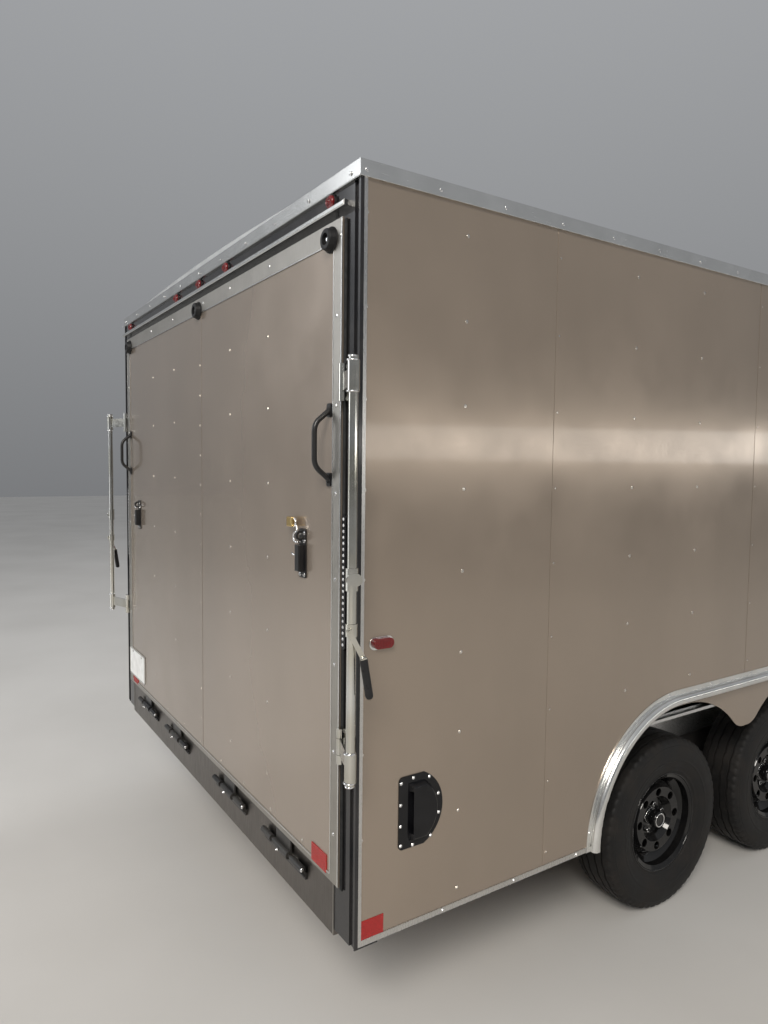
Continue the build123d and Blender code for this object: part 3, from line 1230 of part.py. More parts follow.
def lock_mounts():
    """Base plates on the post with ears above and below each arm and the pivot pin."""
    half_arm = LOCK_ARM_HEIGHT / 2
    half_plate = LOCK_PLATE_HEIGHT / 2
    half_width = LOCK_PLATE_WIDTH / 2
    sheet = LOCK_PLATE_SHEET
    pieces = []
    for z in LOCK_PIVOT_Z:
        plate = block(
            LOCK_PIVOT_X - half_width, LOCK_PIVOT_X + half_width, -sheet, 0, z - half_plate, z + half_plate,
        )
        plate = fillet(plate.edges().filter_by(Axis.Y), sheet)
        ears = ((z - half_plate, z - half_arm - LOCK_EAR_GAP), (z + half_arm + LOCK_EAR_GAP, z + half_plate))
        for z0, z1 in ears:
            ear = block(
                LOCK_PIVOT_X - LOCK_KNUCKLE_RADIUS, LOCK_PIVOT_X + LOCK_KNUCKLE_RADIUS,
                LOCK_PIVOT_Y, -sheet, z0, z1,
            )
            plate = plate + ear + rod_z(LOCK_KNUCKLE_RADIUS, z0, z1, LOCK_PIVOT_X, LOCK_PIVOT_Y)
        pin = rod_z(LOCK_PIN_RADIUS, z - half_plate, z + half_plate, LOCK_PIVOT_X, LOCK_PIVOT_Y)
        pieces += both_sides(plate + pin)
    return pieces


# Lamps and vents
def tail_lamps():
    half = TAIL_LAMP_WIDTH / 2
    low, high = TAIL_LAMP_LOW + half, TAIL_LAMP_HIGH - half
    body = block(TAIL_LAMP_X - half, TAIL_LAMP_X + half, -TAIL_LAMP_DEPTH, 0, low, high)
    for z in (low, high):
        body = body + rod_y(half, -TAIL_LAMP_DEPTH, 0, TAIL_LAMP_X, z)
    return both_sides(body)


def side_marker(y):
    reach = (SIDE_MARKER_LENGTH - SIDE_MARKER_HEIGHT) / 2
    return strap(
        (y - reach, SIDE_MARKER_Z), (y + reach, SIDE_MARKER_Z), SIDE_MARKER_HEIGHT,
        HALF, HALF + SIDE_MARKER_DEPTH,
    )


def marker_lens():
    """Round lens that faces the rear, its rim rounded."""
    lens = rod_y(MARKER_RADIUS, -MARKER_DEPTH, 0, 0, 0)
    return fillet(lens.edges().group_by(Axis.Y)[0], MARKER_ROUND)


def rear_markers():
    lamps = [Pos(x, 0, REAR_MARKER_Z) * marker_lens() for x in REAR_MARKER_X]
    return lamps + both_sides(side_marker(SIDE_MARKER_Y))


def front_markers():
    """Lamps under the roof edge round the nose, and one low on each side ahead of the door."""
    lamp = Rot(0, 0, 180) * marker_lens()
    turn = degrees(atan2(NOSE_DEPTH, HALF - NOSE_TIP_HALF))
    lamps = [Pos(0, NOSE_TIP_Y, REAR_MARKER_Z) * lamp]
    for share in NOSE_LAMP_PLACES:
        x = HALF - share * (HALF - NOSE_TIP_HALF)
        y = BOX_LENGTH + share * NOSE_DEPTH
        lamps += both_sides(Pos(x, y, REAR_MARKER_Z) * Rot(0, 0, -turn) * lamp)
    return lamps + both_sides(side_marker(BOX_LENGTH - FRONT_MARKER_SETBACK))


def vent_edges(rear, inset):
    """Vent outline in (Y, Z), drawn in by `inset`: straight rear, top and bottom, bowed front."""
    low, high = VENT_LOW + inset, VENT_HIGH - inset
    middle = (VENT_LOW + VENT_HIGH) / 2
    straight = VENT_REAR + VENT_STRAIGHT
    return (
        Line((rear, low), (rear, high))
        + Line((rear, high), (straight, high))
        + ThreePointArc((straight, high), (VENT_FRONT - inset, middle), (straight, low))
        + Line((straight, low), (rear, low))
    )


def side_vent():
    """Flat flange with a rounded hood that opens to the rear."""
    flange = side_plate(vent_edges(VENT_REAR, 0), HALF, HALF + VENT_FLANGE_SHEET)
    flange = fillet(flange.edges().filter_by(Axis.X).group_by(Axis.Y)[0], VENT_CORNER)
    hood_rear = VENT_REAR + VENT_HOOD_SETBACK
    hood_face = Plane.YZ * make_face(vent_edges(hood_rear, VENT_FLANGE))
    hood = extrude(hood_face, VENT_DEPTH, dir=(1, 0, 0), taper=VENT_HOOD_TAPER)
    hood = Pos(HALF, 0, 0) * fillet(hood.edges().group_by(Axis.X)[-1], VENT_HOOD_ROUND)
    middle = (VENT_LOW + VENT_HIGH) / 2
    mouth = block(
        HALF + VENT_FLANGE_SHEET, HALF + VENT_DEPTH - VENT_HOOD_SHEET,
        hood_rear - 1, hood_rear + VENT_MOUTH_LENGTH,
        middle - VENT_MOUTH_HEIGHT / 2, middle + VENT_MOUTH_HEIGHT / 2,
    )
    return both_sides(flange + hood - mouth)


# Side door
def side_door():
    return block(
        HALF - DOOR_THICKNESS, HALF, DOOR_REAR + DOOR_GAP, DOOR_FRONT - DOOR_GAP,
        DOOR_LOW + DOOR_GAP, DOOR_HIGH - DOOR_GAP,
    )


def side_door_frame():
    width = DOOR_FRAME_WIDTH
    outer = block(
        HALF, HALF + DOOR_FRAME_PROUD, DOOR_REAR - width, DOOR_FRONT + width,
        DOOR_LOW - width, DOOR_HIGH + width,
    )
    return outer - door_opening()


def door_hinge_fixed(z):
    third = DOOR_HINGE_LENGTH / 3
    half = DOOR_HINGE_LENGTH / 2
    face = HALF + DOOR_FRAME_PROUD
    x, y = DOOR_HINGE_X, DOOR_HINGE_Y
    rear = y + DOOR_LEAF_GAP
    leaf = block(face, face + DOOR_LEAF_SHEET, rear, rear + DOOR_LEAF_WIDTH, z - half, z + half)
    gap = third / 2 + DOOR_HINGE_END_GAP
    leaf = leaf - rod_z(DOOR_HINGE_RADIUS + DOOR_LEAF_GAP, z - gap, z + gap, x, y)
    whole = leaf + rod_z(DOOR_HINGE_PIN, z - half, z + half, x, y)
    for z0 in (z - half, z + half - third):
        whole = whole + rod_z(DOOR_HINGE_RADIUS, z0, z0 + third, x, y)
    return whole


def door_hinge_moving(z):
    half = DOOR_HINGE_LENGTH / 6 - DOOR_HINGE_END_GAP
    x, y = DOOR_HINGE_X, DOOR_HINGE_Y
    sheet = DOOR_STRAP_SHEET
    knuckle = rod_z(DOOR_HINGE_RADIUS, z - half, z + half, x, y)
    leaf = block(HALF, HALF + sheet, y - DOOR_STRAP_REACH, y - DOOR_HINGE_RADIUS / 2, z - half, z + half)
    riser = block(HALF, x, y - DOOR_GAP - 2 * sheet + 2, y - DOOR_HINGE_RADIUS / 2, z - half, z + half)
    bore = rod_z(DOOR_HINGE_PIN + RUNNING_CLEARANCE, z - 2 * half, z + 2 * half, x, y)
    return joined([knuckle, leaf, riser]) - bore


def door_latch():
    """Recessed bar latch on its plate."""
    y = DOOR_REAR + LATCH_PLATE_SETBACK
    z = DOOR_LOW + LATCH_PLATE_RISE
    plate = block(
        HALF, HALF + LATCH_PLATE_SHEET, y - LATCH_PLATE_HALF_WIDTH, y + LATCH_PLATE_HALF_WIDTH,
        z - LATCH_PLATE_HALF_HEIGHT, z + LATCH_PLATE_HALF_HEIGHT,
    )
    plate = fillet(plate.edges().filter_by(Axis.X), LATCH_BAR_HALF)
    face = HALF + LATCH_PLATE_SHEET
    handle = strap(
        (y - LATCH_BAR_HALF, z), (y + LATCH_BAR_HALF, z), 2 * LATCH_BAR_HALF, face, face + LATCH_BAR_REACH,
    )
    return plate + handle


def wiring_box():
    y = NOSE_TIP_Y + WIRING_BOX_SETBACK
    x = TONGUE_TIP_X + (TONGUE_TIP_Y - y) * tan(radians(TONGUE_ANGLE))
    half_width, half_length = WIRING_BOX_WIDTH / 2, WIRING_BOX_LENGTH / 2
    box = block(
        x - half_width, x + half_width, y - half_length, y + half_length,
        DECK_BOTTOM, DECK_BOTTOM + WIRING_BOX_HEIGHT,
    )
    return fillet(box.edges().group_by(Axis.Z)[-1], WIRING_BOX_HEIGHT / 8)


os.makedirs("parts", exist_ok=True)

save("main_rails", *main_rails())
save("crossmembers", *crossmembers())
save("tongue", tongue())
save("coupler", coupler())
save("jack_tube", jack_tube())
save("jack_leg", jack_leg())
save("leaf_springs", *[s for y in WHEEL_Y.values() for s in both_sides(leaf_spring(y))])
save("spring_hangers", *spring_hangers())
save("equalizers", *both_sides(equalizer()))

for end, wheel_y in WHEEL_Y.items():
    save(f"axle_{end}", axle(wheel_y))
    for side_name, sign in (("right", 1), ("left", -1)):
        save(f"tyre_{end}_{side_name}", tyre(sign, wheel_y))
        save(f"rim_{end}_{side_name}", rim(sign, wheel_y))
        save(f"hub_{end}_{side_name}", hub(sign, wheel_y))

save("floor_deck", floor_deck())
save("sidewall_right", side_wall() - door_opening())
save("sidewall_left", mirror(side_wall(), Plane.YZ))
nose_right, nose_left = nose_walls()
save("nose_wall_right", nose_right)
save("nose_wall_left", nose_left)
save("stone_guard", stone_guard())
save("roof", roof())
save("roof_trim", roof_trim())
save("edge_trims", *edge_trims())
save("wheel_wells", *both_sides(wheel_well()))
save("arch_trims", *both_sides(arch_trim()))
save("arch_skirts", *both_sides(arch_skirt()))

save("rear_posts", *rear_posts())
save("rear_header", rear_header())
save("drip_rail", drip_rail())
save("rear_sill", rear_sill())

save("ramp_panel", ramp_panel())
save("ramp_edge_band", ramp_edge_band())
save("sill_hinges", *[sill_hinge(x) for x in HINGE_X])
save("ramp_hinges", *[ramp_hinge(x) for x in HINGE_X])
save("ramp_bumpers", *[bumper(x) for x in BUMPER_X])
save("grab_handles", *both_sides(grab_handle()))
save("hasps", *both_sides(hasp()))

lock_right = swing_to_rest(bar_lock())
save("bar_lock_right", lock_right)
save("bar_lock_left", mirror(lock_right, Plane.YZ))
save("lock_mounts", *lock_mounts())

save("tail_lamps", *tail_lamps())
save("rear_markers", *rear_markers())
save("front_markers", *front_markers())
save("side_vents", *side_vent())

save("side_door", side_door())
save("side_door_frame", side_door_frame())
save("side_door_hinges", *[door_hinge_fixed(z) for z in DOOR_HINGE_Z])
save("side_door_straps", *[door_hinge_moving(z) for z in DOOR_HINGE_Z])
save("side_door_latch", door_latch())
save("wiring_box", wiring_box())
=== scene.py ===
import json
from itertools import product
from math import cos, hypot, pi, radians, sin, sqrt

import bmesh
import bpy
from mathutils import Matrix, Vector


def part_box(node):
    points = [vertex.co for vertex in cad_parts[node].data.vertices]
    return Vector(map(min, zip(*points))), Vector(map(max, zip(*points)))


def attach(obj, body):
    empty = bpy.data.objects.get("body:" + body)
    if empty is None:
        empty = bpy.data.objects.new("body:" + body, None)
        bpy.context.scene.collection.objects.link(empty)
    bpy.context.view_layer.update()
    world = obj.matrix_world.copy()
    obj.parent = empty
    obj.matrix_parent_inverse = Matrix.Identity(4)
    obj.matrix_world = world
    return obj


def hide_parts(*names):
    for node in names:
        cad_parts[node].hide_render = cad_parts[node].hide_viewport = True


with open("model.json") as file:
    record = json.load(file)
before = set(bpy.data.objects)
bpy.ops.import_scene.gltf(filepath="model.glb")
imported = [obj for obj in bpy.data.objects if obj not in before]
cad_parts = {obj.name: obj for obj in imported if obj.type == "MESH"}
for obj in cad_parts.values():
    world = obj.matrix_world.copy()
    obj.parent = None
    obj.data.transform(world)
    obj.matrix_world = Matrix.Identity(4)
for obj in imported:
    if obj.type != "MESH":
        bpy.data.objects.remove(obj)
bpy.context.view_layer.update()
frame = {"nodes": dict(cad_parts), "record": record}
nodes = frame["nodes"]

# Sizes in metres, Y counted from the rear face of the door posts
REAR_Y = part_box("rear_posts")[0].y


def at(x, y, z):
    """A place in the shared frame from one counted from the posts' rear face."""
    return Vector((x, y + REAR_Y, z))


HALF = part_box("sidewall_right")[1].x
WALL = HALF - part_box("sidewall_right")[0].x
WALL_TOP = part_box("rear_posts")[1].z
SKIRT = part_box("sidewall_right")[0].z
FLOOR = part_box("floor_deck")[1].z
BOX_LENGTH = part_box("sidewall_right")[1].y - REAR_Y
NOSE_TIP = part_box("nose_wall_right")[1].y - REAR_Y
TIP_HALF = 0.08
POST_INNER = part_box("rear_header")[1].x
HEADER_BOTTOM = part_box("rear_header")[0].z
RAMP_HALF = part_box("ramp_panel")[1].x
RAMP_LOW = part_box("ramp_panel")[0].z
RAMP_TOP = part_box("ramp_panel")[1].z
RAMP_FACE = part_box("ramp_panel")[0].y - REAR_Y
RAMP_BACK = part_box("ramp_panel")[1].y - REAR_Y
BAND_FACE = RAMP_FACE - 0.002
SKIN_LOW = RAMP_LOW + 0.022
SKIN_HIGH = RAMP_TOP - 0.058
WHEEL_RADIUS = 0.36
WHEEL_Y = {"rear": 1.572, "front": 2.436}
TYRE_X = 1.113
SIDES = (("right", 1), ("left", -1))
AHEAD = (0, -1, 0)
UP = Vector((0, 0, 1))

# How far a lapped sheet stands proud, then heads of screws and bolts as (radius, height)
LAP = 0.0011
SHEET_SCREW = (0.0046, 0.0022)
SEAM_SCREW = (0.0040, 0.0020)
BAND_SCREW = (0.0048, 0.0022)
TRIM_SCREW = (0.0048, 0.0024)
DOOR_SCREW = (0.0044, 0.0022)
PANEL_SCREW = (0.0045, 0.0022)
VENT_SCREW = (0.0045, 0.0024)
RAIL_SCREW = (0.0042, 0.0020)
LINING_SCREW = (0.0042, 0.0018)
DECK_SCREW = (0.0042, 0.0012)
RAMP_SCREW = (0.0044, 0.0014)
SMALL_BOLT = (0.0042, 0.0036)
HINGE_BOLT = (0.0042, 0.0034)

# Camera: the photograph's place and aim, in degrees and millimetres of lens
CAMERA_YAW = 56.788
CAMERA_PITCH = 3.618
CAMERA_ROLL = 0.642
CAMERA_LENS = 25.121
CAMERA_PLACE = at(2.985, -1.019, 1.836)


def new_object(name, data):
    obj = bpy.data.objects.new(name, data)
    bpy.context.scene.collection.objects.link(obj)
    return obj


def photo_camera():
    yaw, pitch, roll = map(radians, (CAMERA_YAW, CAMERA_PITCH, CAMERA_ROLL))
    right = Vector((cos(yaw), sin(yaw), 0))
    ahead = Vector((-sin(yaw) * cos(pitch), cos(yaw) * cos(pitch), -sin(pitch)))
    up = right.cross(ahead)
    rolled_right = cos(roll) * right + sin(roll) * up
    rolled_up = cos(roll) * up - sin(roll) * right
    data = bpy.data.cameras.new("photo_camera")
    data.sensor_fit = "AUTO"
    data.sensor_width = 36
    data.lens = CAMERA_LENS
    data.clip_start = 0.05
    data.clip_end = 200
    camera = new_object("photo_camera", data)
    rotation = Matrix((rolled_right, rolled_up, -ahead)).transposed().to_4x4()
    camera.matrix_world = Matrix.Translation(CAMERA_PLACE) @ rotation
    bpy.context.scene.camera = camera


# Materials
class Shader:
    """A principled material with short calls for its texture nodes, in object space."""

    def __init__(self, name, color, rough=0.5, metal=0.0, **values):
        self.material = bpy.data.materials.new(name)
        self.material.use_nodes = True
        self.tree = self.material.node_tree
        self.bsdf = self.tree.nodes["Principled BSDF"]
        self.material.diffuse_color = (*color, 1)
        self.set("Base Color", (*color, 1))
        self.set("Roughness", rough)
        self.set("Metallic", metal)
        for key, value in values.items():
            self.set(key.replace("_", " "), value)
        self.place = self.tree.nodes.new("ShaderNodeTexCoord").outputs["Object"]
        self.height = None

    def set(self, socket, value):
        self.bsdf.inputs[socket].default_value = value

    def link(self, source, target):
        self.tree.links.new(source, target)

    def stretched(self, scale):
        node = self.tree.nodes.new("ShaderNodeMapping")
        node.inputs["Scale"].default_value = scale
        self.link(self.place, node.inputs["Vector"])
        return node.outputs["Vector"]

    def noise(self, scale, detail=3.0, stretch=(1, 1, 1), distortion=0.0, rough=0.5):
        node = self.tree.nodes.new("ShaderNodeTexNoise")
        node.inputs["Scale"].default_value = scale
        node.inputs["Detail"].default_value = detail
        node.inputs["Roughness"].default_value = rough
        node.inputs["Distortion"].default_value = distortion
        self.link(self.stretched(stretch), node.inputs["Vector"])
        return node.outputs["Fac"]

    def color(self, value, low, high, color_low, color_high):
        """Base colour between two, as the value goes from low to high."""
        node = self.tree.nodes.new("ShaderNodeMapRange")
        node.data_type = "FLOAT_VECTOR"
        node.clamp = True
        split = self.tree.nodes.new("ShaderNodeCombineXYZ")
        for i in range(3):
            self.link(value, split.inputs[i])
        self.link(split.outputs[0], node.inputs["Vector"])
        for i, triple in enumerate(((low,) * 3, (high,) * 3, color_low, color_high), 7):
            node.inputs[i].default_value = triple
        self.link(node.outputs["Vector"], self.bsdf.inputs["Base Color"])

    def rough(self, value, low, high, rough_low, rough_high):
        """Roughness between two, as the value goes from low to high."""
        node = self.tree.nodes.new("ShaderNodeMapRange")
        node.clamp = True
        self.link(value, node.inputs[0])
        for i, number in enumerate((low, high, rough_low, rough_high), 1):
            node.inputs[i].default_value = number
        self.link(node.outputs[0], self.bsdf.inputs["Roughness"])

    def bump(self, value, strength, distance):
        node = self.tree.nodes.new("ShaderNodeBump")
        node.inputs["Strength"].default_value = strength
        node.inputs["Distance"].default_value = distance
        self.link(value, node.inputs["Height"])
        if self.height is not None:
            self.link(self.height, node.inputs["Normal"])
        self.height = node.outputs["Normal"]
        self.link(self.height, self.bsdf.inputs["Normal"])


def shade(color, factor, lift=0.0):
    """A colour made lighter or darker by a factor."""
    return tuple(min(1, c * factor + lift) for c in color)


def painted_sheet(name, color, wave=0.006):
    """Coil-coated aluminium sheet: slow waves between its studs and faint dust, with no grain."""
    s = Shader(name, color, rough=0.22, metal=0.55, Coat_Weight=0.5, Coat_Roughness=0.06)
    dust = s.noise(1.7, detail=5, stretch=(1, 1, 0.5))
    s.color(dust, 0.35, 0.7, shade(color, 0.93), shade(color, 1.06))
    s.rough(s.noise(5, detail=4), 0.3, 0.7, 0.17, 0.27)
    s.bump(s.noise(1.3, detail=0.0, stretch=(1, 1, 0.6)), 1.0, wave)
    s.bump(s.noise(2.6, detail=0.0, stretch=(1, 1, 0.5), distortion=0.35), 1.0, wave * 0.9)
    return s.material


def bright_metal(name, color, rough, scratch=(1, 1, 1)):
    """Rolled or polished aluminium with fine drawing lines and dull patches."""
    s = Shader(name, color, rough=rough, metal=1.0)
    s.rough(s.noise(260, detail=3, stretch=scratch), 0.25, 0.8, rough * 0.75, rough * 1.45)
    s.color(s.noise(9, detail=4), 0.3, 0.75, shade(color, 0.86), color)
    s.bump(s.noise(14, detail=2), 0.2, 0.001)
    return s.material


def enamel(name, color, rough, dusty):
    """Glossy enamel with orange peel and road dust that lies unevenly."""
    s = Shader(name, color, rough=rough, Coat_Weight=0.1, Coat_Roughness=0.05, Specular_IOR_Level=0.38)
    spread = s.noise(6, detail=6, rough=0.62)
    far = tuple(c + (d - c) * dusty * 0.35 for c, d in zip(color, (0.2, 0.18, 0.15)))
    s.color(spread, 0.42, 0.85, color, far)
    s.rough(spread, 0.35, 0.8, rough, min(0.75, rough + 0.3 * dusty))
    s.bump(s.noise(90, detail=1), 0.05, 0.0004)
    return s.material


def moulded(name, color, rough, grain=0.15):
    """Moulded plastic with a fine grain."""
    s = Shader(name, color, rough=rough, Specular_IOR_Level=0.32)
    s.color(s.noise(24, detail=3), 0.3, 0.75, color, shade(color, 1.25, 0.004))
    s.rough(s.noise(60, detail=2), 0.3, 0.7, rough * 0.85, min(1, rough * 1.2))
    s.bump(s.noise(300, detail=2), grain, 0.0004)
    return s.material


def zinc(name, rough):
    """Zinc plate: a bright sheen that drifts from blue-white to straw yellow."""
    s = Shader(name, (0.6, 0.58, 0.53), rough=rough, metal=1.0)
    s.color(s.noise(7, detail=2), 0.3, 0.7, (0.52, 0.5, 0.43), (0.64, 0.64, 0.62))
    s.rough(s.noise(40, detail=2), 0.3, 0.75, rough * 0.8, rough * 1.35)
    return s.material


def wood(name, color, along):
    """Sealed plywood: long grain with darker pores."""
    s = Shader(name, color, rough=0.62)
    grain = s.noise(9, detail=6, stretch=along, distortion=1.2, rough=0.6)
    s.color(grain, 0.3, 0.72, shade(color, 0.72), shade(color, 1.22))
    s.rough(grain, 0.3, 0.7, 0.72, 0.5)
    s.bump(grain, 0.35, 0.0008)
    return s.material


def rubber(name, color, rough):
    """Tyre rubber with dust that lies in uneven patches."""
    s = Shader(name, color, rough=rough, Specular_IOR_Level=0.25)
    spread = s.noise(11, detail=6, rough=0.65)
    s.color(spread, 0.42, 0.85, color, (0.026, 0.022, 0.019))
    s.rough(spread, 0.3, 0.8, rough * 0.82, rough * 1.25)
    s.bump(s.noise(160, detail=2), 0.15, 0.0004)
    return s.material


def lens(name, color, rough=0.12):
    """Moulded lens with fine prisms behind a glossy face."""
    s = Shader(name, color, rough=rough, Coat_Weight=0.3, Coat_Roughness=0.03)
    prisms = s.noise(420, detail=0)
    s.color(prisms, 0.35, 0.65, shade(color, 0.45), color)
    s.bump(prisms, 0.35, 0.0008)
    return s.material


UPRIGHT = (1, 1, 0.06)
MAT = {
    "body_skin": painted_sheet("pewter_skin", (0.33, 0.27, 0.215)),
    "ramp_skin": painted_sheet("pewter_ramp", (0.35, 0.292, 0.24), wave=0.003),
    "roof_skin": bright_metal("roof_sheet", (0.6, 0.6, 0.59), 0.44),
    "bright_trim": bright_metal("bright_trim", (0.82, 0.82, 0.8), 0.2, scratch=(1, 0.08, 1)),
    "plate_aluminium": bright_metal("plate_aluminium", (0.74, 0.74, 0.73), 0.28),
    "frame_paint": enamel("frame_enamel", (0.016, 0.016, 0.018), 0.1, 0.3),
    "black_steel": enamel("black_enamel", (0.014, 0.014, 0.015), 0.26, 0.7),
    "black_coated": enamel("black_coat", (0.01, 0.01, 0.011), 0.3, 0.25),
    "black_plastic": moulded("black_plastic", (0.004, 0.004, 0.005), 0.09, grain=0.02),
    "black_rubber": moulded("black_rubber", (0.007, 0.007, 0.0075), 0.5),
    "zinc_steel": zinc("zinc_plate", 0.13),
    "plywood": wood("plywood", (0.52, 0.37, 0.22), (7, 0.35, 7)),
    "red_lens": lens("red_lens", (0.19, 0.003, 0.004)),
    "amber_lens": lens("amber_lens", (0.75, 0.22, 0.012)),
    "tyre_rubber": rubber("tyre_rubber", (0.0105, 0.0102, 0.0102), 0.6),
    "rim_black": enamel("rim_enamel", (0.006, 0.006, 0.0065), 0.08, 0.15),
}
SATIN = bright_metal("satin_band", (0.42, 0.4, 0.365), 0.36, UPRIGHT)
SILL = bright_metal("sill_sheet", (0.17, 0.155, 0.142), 0.33, UPRIGHT)
BEAD = bright_metal("corner_bead", (0.66, 0.65, 0.63), 0.26, UPRIGHT)
SCREW = bright_metal("screw_heads", (0.78, 0.74, 0.68), 0.2)
RAMP_WOOD = wood("ramp_plywood", (0.42, 0.31, 0.2), (7, 7, 0.35))
CHROME = bright_metal("chrome", (0.86, 0.86, 0.86), 0.1)
BRASS = bright_metal("brass", (0.82, 0.6, 0.26), 0.22)
WHITE_PAINT = moulded("white_paint", (0.78, 0.78, 0.76), 0.35, grain=0.05)
REFLECTOR = lens("red_reflector", (0.5, 0.012, 0.01))
CLEAR_DOT = lens("clear_dot", (0.75, 0.76, 0.78), rough=0.08)
SEAL = moulded("seal_rubber", (0.008, 0.008, 0.008), 0.7)
GRIP = moulded("vinyl_grip", (0.01, 0.01, 0.011), 0.3, grain=0.1)

OWN_FINISH = {"ramp_edge_band": SATIN, "rear_sill": SILL, "edge_trims": BEAD}
for row in frame["record"]["subparts"]:
    node = nodes.get(row["node"])
    if node is not None:
        node.data.materials.clear()
        node.data.materials.append(OWN_FINISH.get(row["node"], MAT[row["material_slot"]]))


# Mesh code: many small shapes are gathered and joined into one piece
def circle(middle, side, other, radius, count):
    """Points round a middle, in the plane of two directions."""
    turns = [2 * pi * k / count for k in range(count)]
    return [middle + side * (radius * cos(a)) + other * (radius * sin(a)) for a in turns]


class Gather:
    def __init__(self):
        self.verts = []
        self.faces = []
        self.smooth = []

    def add(self, verts, faces, smooth=False):
        start = len(self.verts)
        self.verts += [Vector(v) for v in verts]
        self.faces += [tuple(start + i for i in face) for face in faces]
        self.smooth += [smooth] * len(faces)

    def box(self, low, high):
        (x0, y0, z0), (x1, y1, z1) = low, high
        self.loft([[(x0, y0, z), (x1, y0, z), (x1, y1, z), (x0, y1, z)] for z in (z0, z1)])

    def block(self, xs, ys, zs):
        """Box between three pairs in either order, Y counted from the posts' rear face."""
        low, high = zip(*(sorted(pair) for pair in (xs, ys, zs)))
        self.box(at(*low), at(*high))

    def pair(self, xs, ys, zs):
        """A block on the right and its mirror image on the left."""
        for sign in (-1, 1):
            self.block([sign * x for x in xs], ys, zs)

    def loft(self, rings, smooth=False, closed=False):
        """Joins rings of like count, and either the last one to the first or both ends shut."""
        count, total = len(rings[0]), len(rings)
        faces = []
        for i in range(total if closed else total - 1):
            low, high = i * count, (i + 1) % total * count
            for k in range(count):
                turn = (k + 1) % count
                faces.append((low + k, low + turn, high + turn, high + k))
        if not closed:
            faces += [tuple(reversed(range(count))), tuple(range((total - 1) * count, total * count))]
        self.add([v for ring in rings for v in ring], faces, smooth)

    def lathe(self, place, axis, profile, count=16, smooth=True, ring=False):
        """Turns a profile of (radius, distance along the axis); a ring's last point meets its first."""
        place, axis = Vector(place), Vector(axis).normalized()
        side = axis.orthogonal().normalized()
        other = axis.cross(side)
        rings = [circle(place + axis * along, side, other, radius, count) for radius, along in profile]
        self.loft(rings, smooth, ring)

    def screw(self, place, axis, radius, high):
        """Hex washer head of a sheet screw."""
        wide, flat = radius * 1.25, radius * 0.78
        self.lathe(place, axis, [(wide, -0.0004), (wide, high * 0.28), (radius, high * 0.32)], 12)
        base = Vector(place) + Vector(axis).normalized() * (high * 0.28)
        self.lathe(base, axis, [(flat, 0), (flat, high * 0.6), (radius * 0.6, high * 0.78)], 6, False)

    def grid(self, xs, ys, zs, axis, size):
        """Screws at all places of three rows, Y counted from the posts' rear face."""
        for x, y, z in product(xs, ys, zs):
            self.screw(at(x, y, z), axis, *size)

    def rivet(self, place, axis, radius, high):
        dome = [(radius * cos(a), high * sin(a)) for a in (0.0, 0.5, 1.0)]
        self.lathe(place, axis, [(radius, -0.0003), *dome, (radius * 0.12, high)], 10)

    def bolt(self, place, axis, radius, high):
        """Hex bolt head on a washer."""
        wide = radius * 1.5
        self.lathe(place, axis, [(wide, -0.0004), (wide, high * 0.2), (radius * 1.3, high * 0.24)])
        base = Vector(place) + Vector(axis).normalized() * (high * 0.2)
        self.lathe(base, axis, [(radius, 0), (radius, high * 0.7), (radius * 0.85, high * 0.8)], 6, False)

    def tube(self, points, radius, count=10):
        """Round rod along points, its ends closed."""
        points = [Vector(p) for p in points]
        last = len(points) - 1
        side = None
        rings = []
        for i, point in enumerate(points):
            ahead = (points[min(i + 1, last)] - points[max(i - 1, 0)]).normalized()
            side = ahead.orthogonal() if side is None else side - ahead * side.dot(ahead)
            side.normalize()
            rings.append(circle(point, side, ahead.cross(side), radius, count))
        self.loft(rings, True)

    def strip(self, points, wide, deep):
        """Solid of one section along points: `wide` to both sides of them and `deep` to one."""
        section = (-wide, wide, wide + deep, deep - wide)
        self.loft([[point + offset for offset in section] for point in points])

    def lozenge(self, middle, along, out):
        """Raised bar of tread plate."""
        length, width, high = 0.0125, 0.0036, 0.0014
        across = along.cross(out)
        tips = (middle + along * length, middle - along * length)
        ridge = (middle + along * (length * 0.5) + out * high, middle - along * (length * 0.5) + out * high)
        verts = [*tips, middle + across * width, middle - across * width, *ridge]
        self.add(verts, [(0, 2, 4), (2, 5, 4), (2, 1, 5), (0, 4, 3), (3, 4, 5), (3, 5, 1)])

    def piece(self, name, slot, material=None, body="root", bevel=0.0, segments=2):
        """One mesh that rides on a body, in its slot's material or in one of its own."""
        mesh = bpy.data.meshes.new(name)
        mesh.from_pydata([tuple(v) for v in self.verts], [], self.faces)
        mesh.polygons.foreach_set("use_smooth", self.smooth)
        mesh.materials.append(material or MAT[slot])
        turned = bmesh.new()
        turned.from_mesh(mesh)
        bmesh.ops.recalc_face_normals(turned, faces=turned.faces)
        turned.to_mesh(mesh)
        turned.free()
        obj = new_object(name, mesh)
        if bevel:
            modifier = obj.modifiers.new("edges", "BEVEL")
            modifier.width = bevel
            modifier.segments = segments
            modifier.limit_method = "ANGLE"
            modifier.harden_normals = True
        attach(obj, body)
        return obj


def cover(name, node, keep, material, body):
    """A skin over part of a CAD node: the faces whose middle `keep` accepts, lifted off a little."""
    mesh = nodes[node].data.copy()
    mesh.name = name
    skin = bmesh.new()
    skin.from_mesh(mesh)
    bmesh.ops.remove_doubles(skin, verts=skin.verts, dist=0.00001)
    others = [face for face in skin.faces if not keep(face.calc_center_median())]
    bmesh.ops.delete(skin, geom=others, context="FACES")
    skin.normal_update()
    for vert in skin.verts:
        vert.co += vert.normal * 0.0005
    skin.to_mesh(mesh)
    skin.free()
    mesh.materials.clear()
    mesh.materials.append(material)
    obj = new_object(name, mesh)
    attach(obj, body)


def surface(node, start, way):
    """Where a line from `start` first meets a node."""
    return nodes[node].ray_cast(start, way)[1]


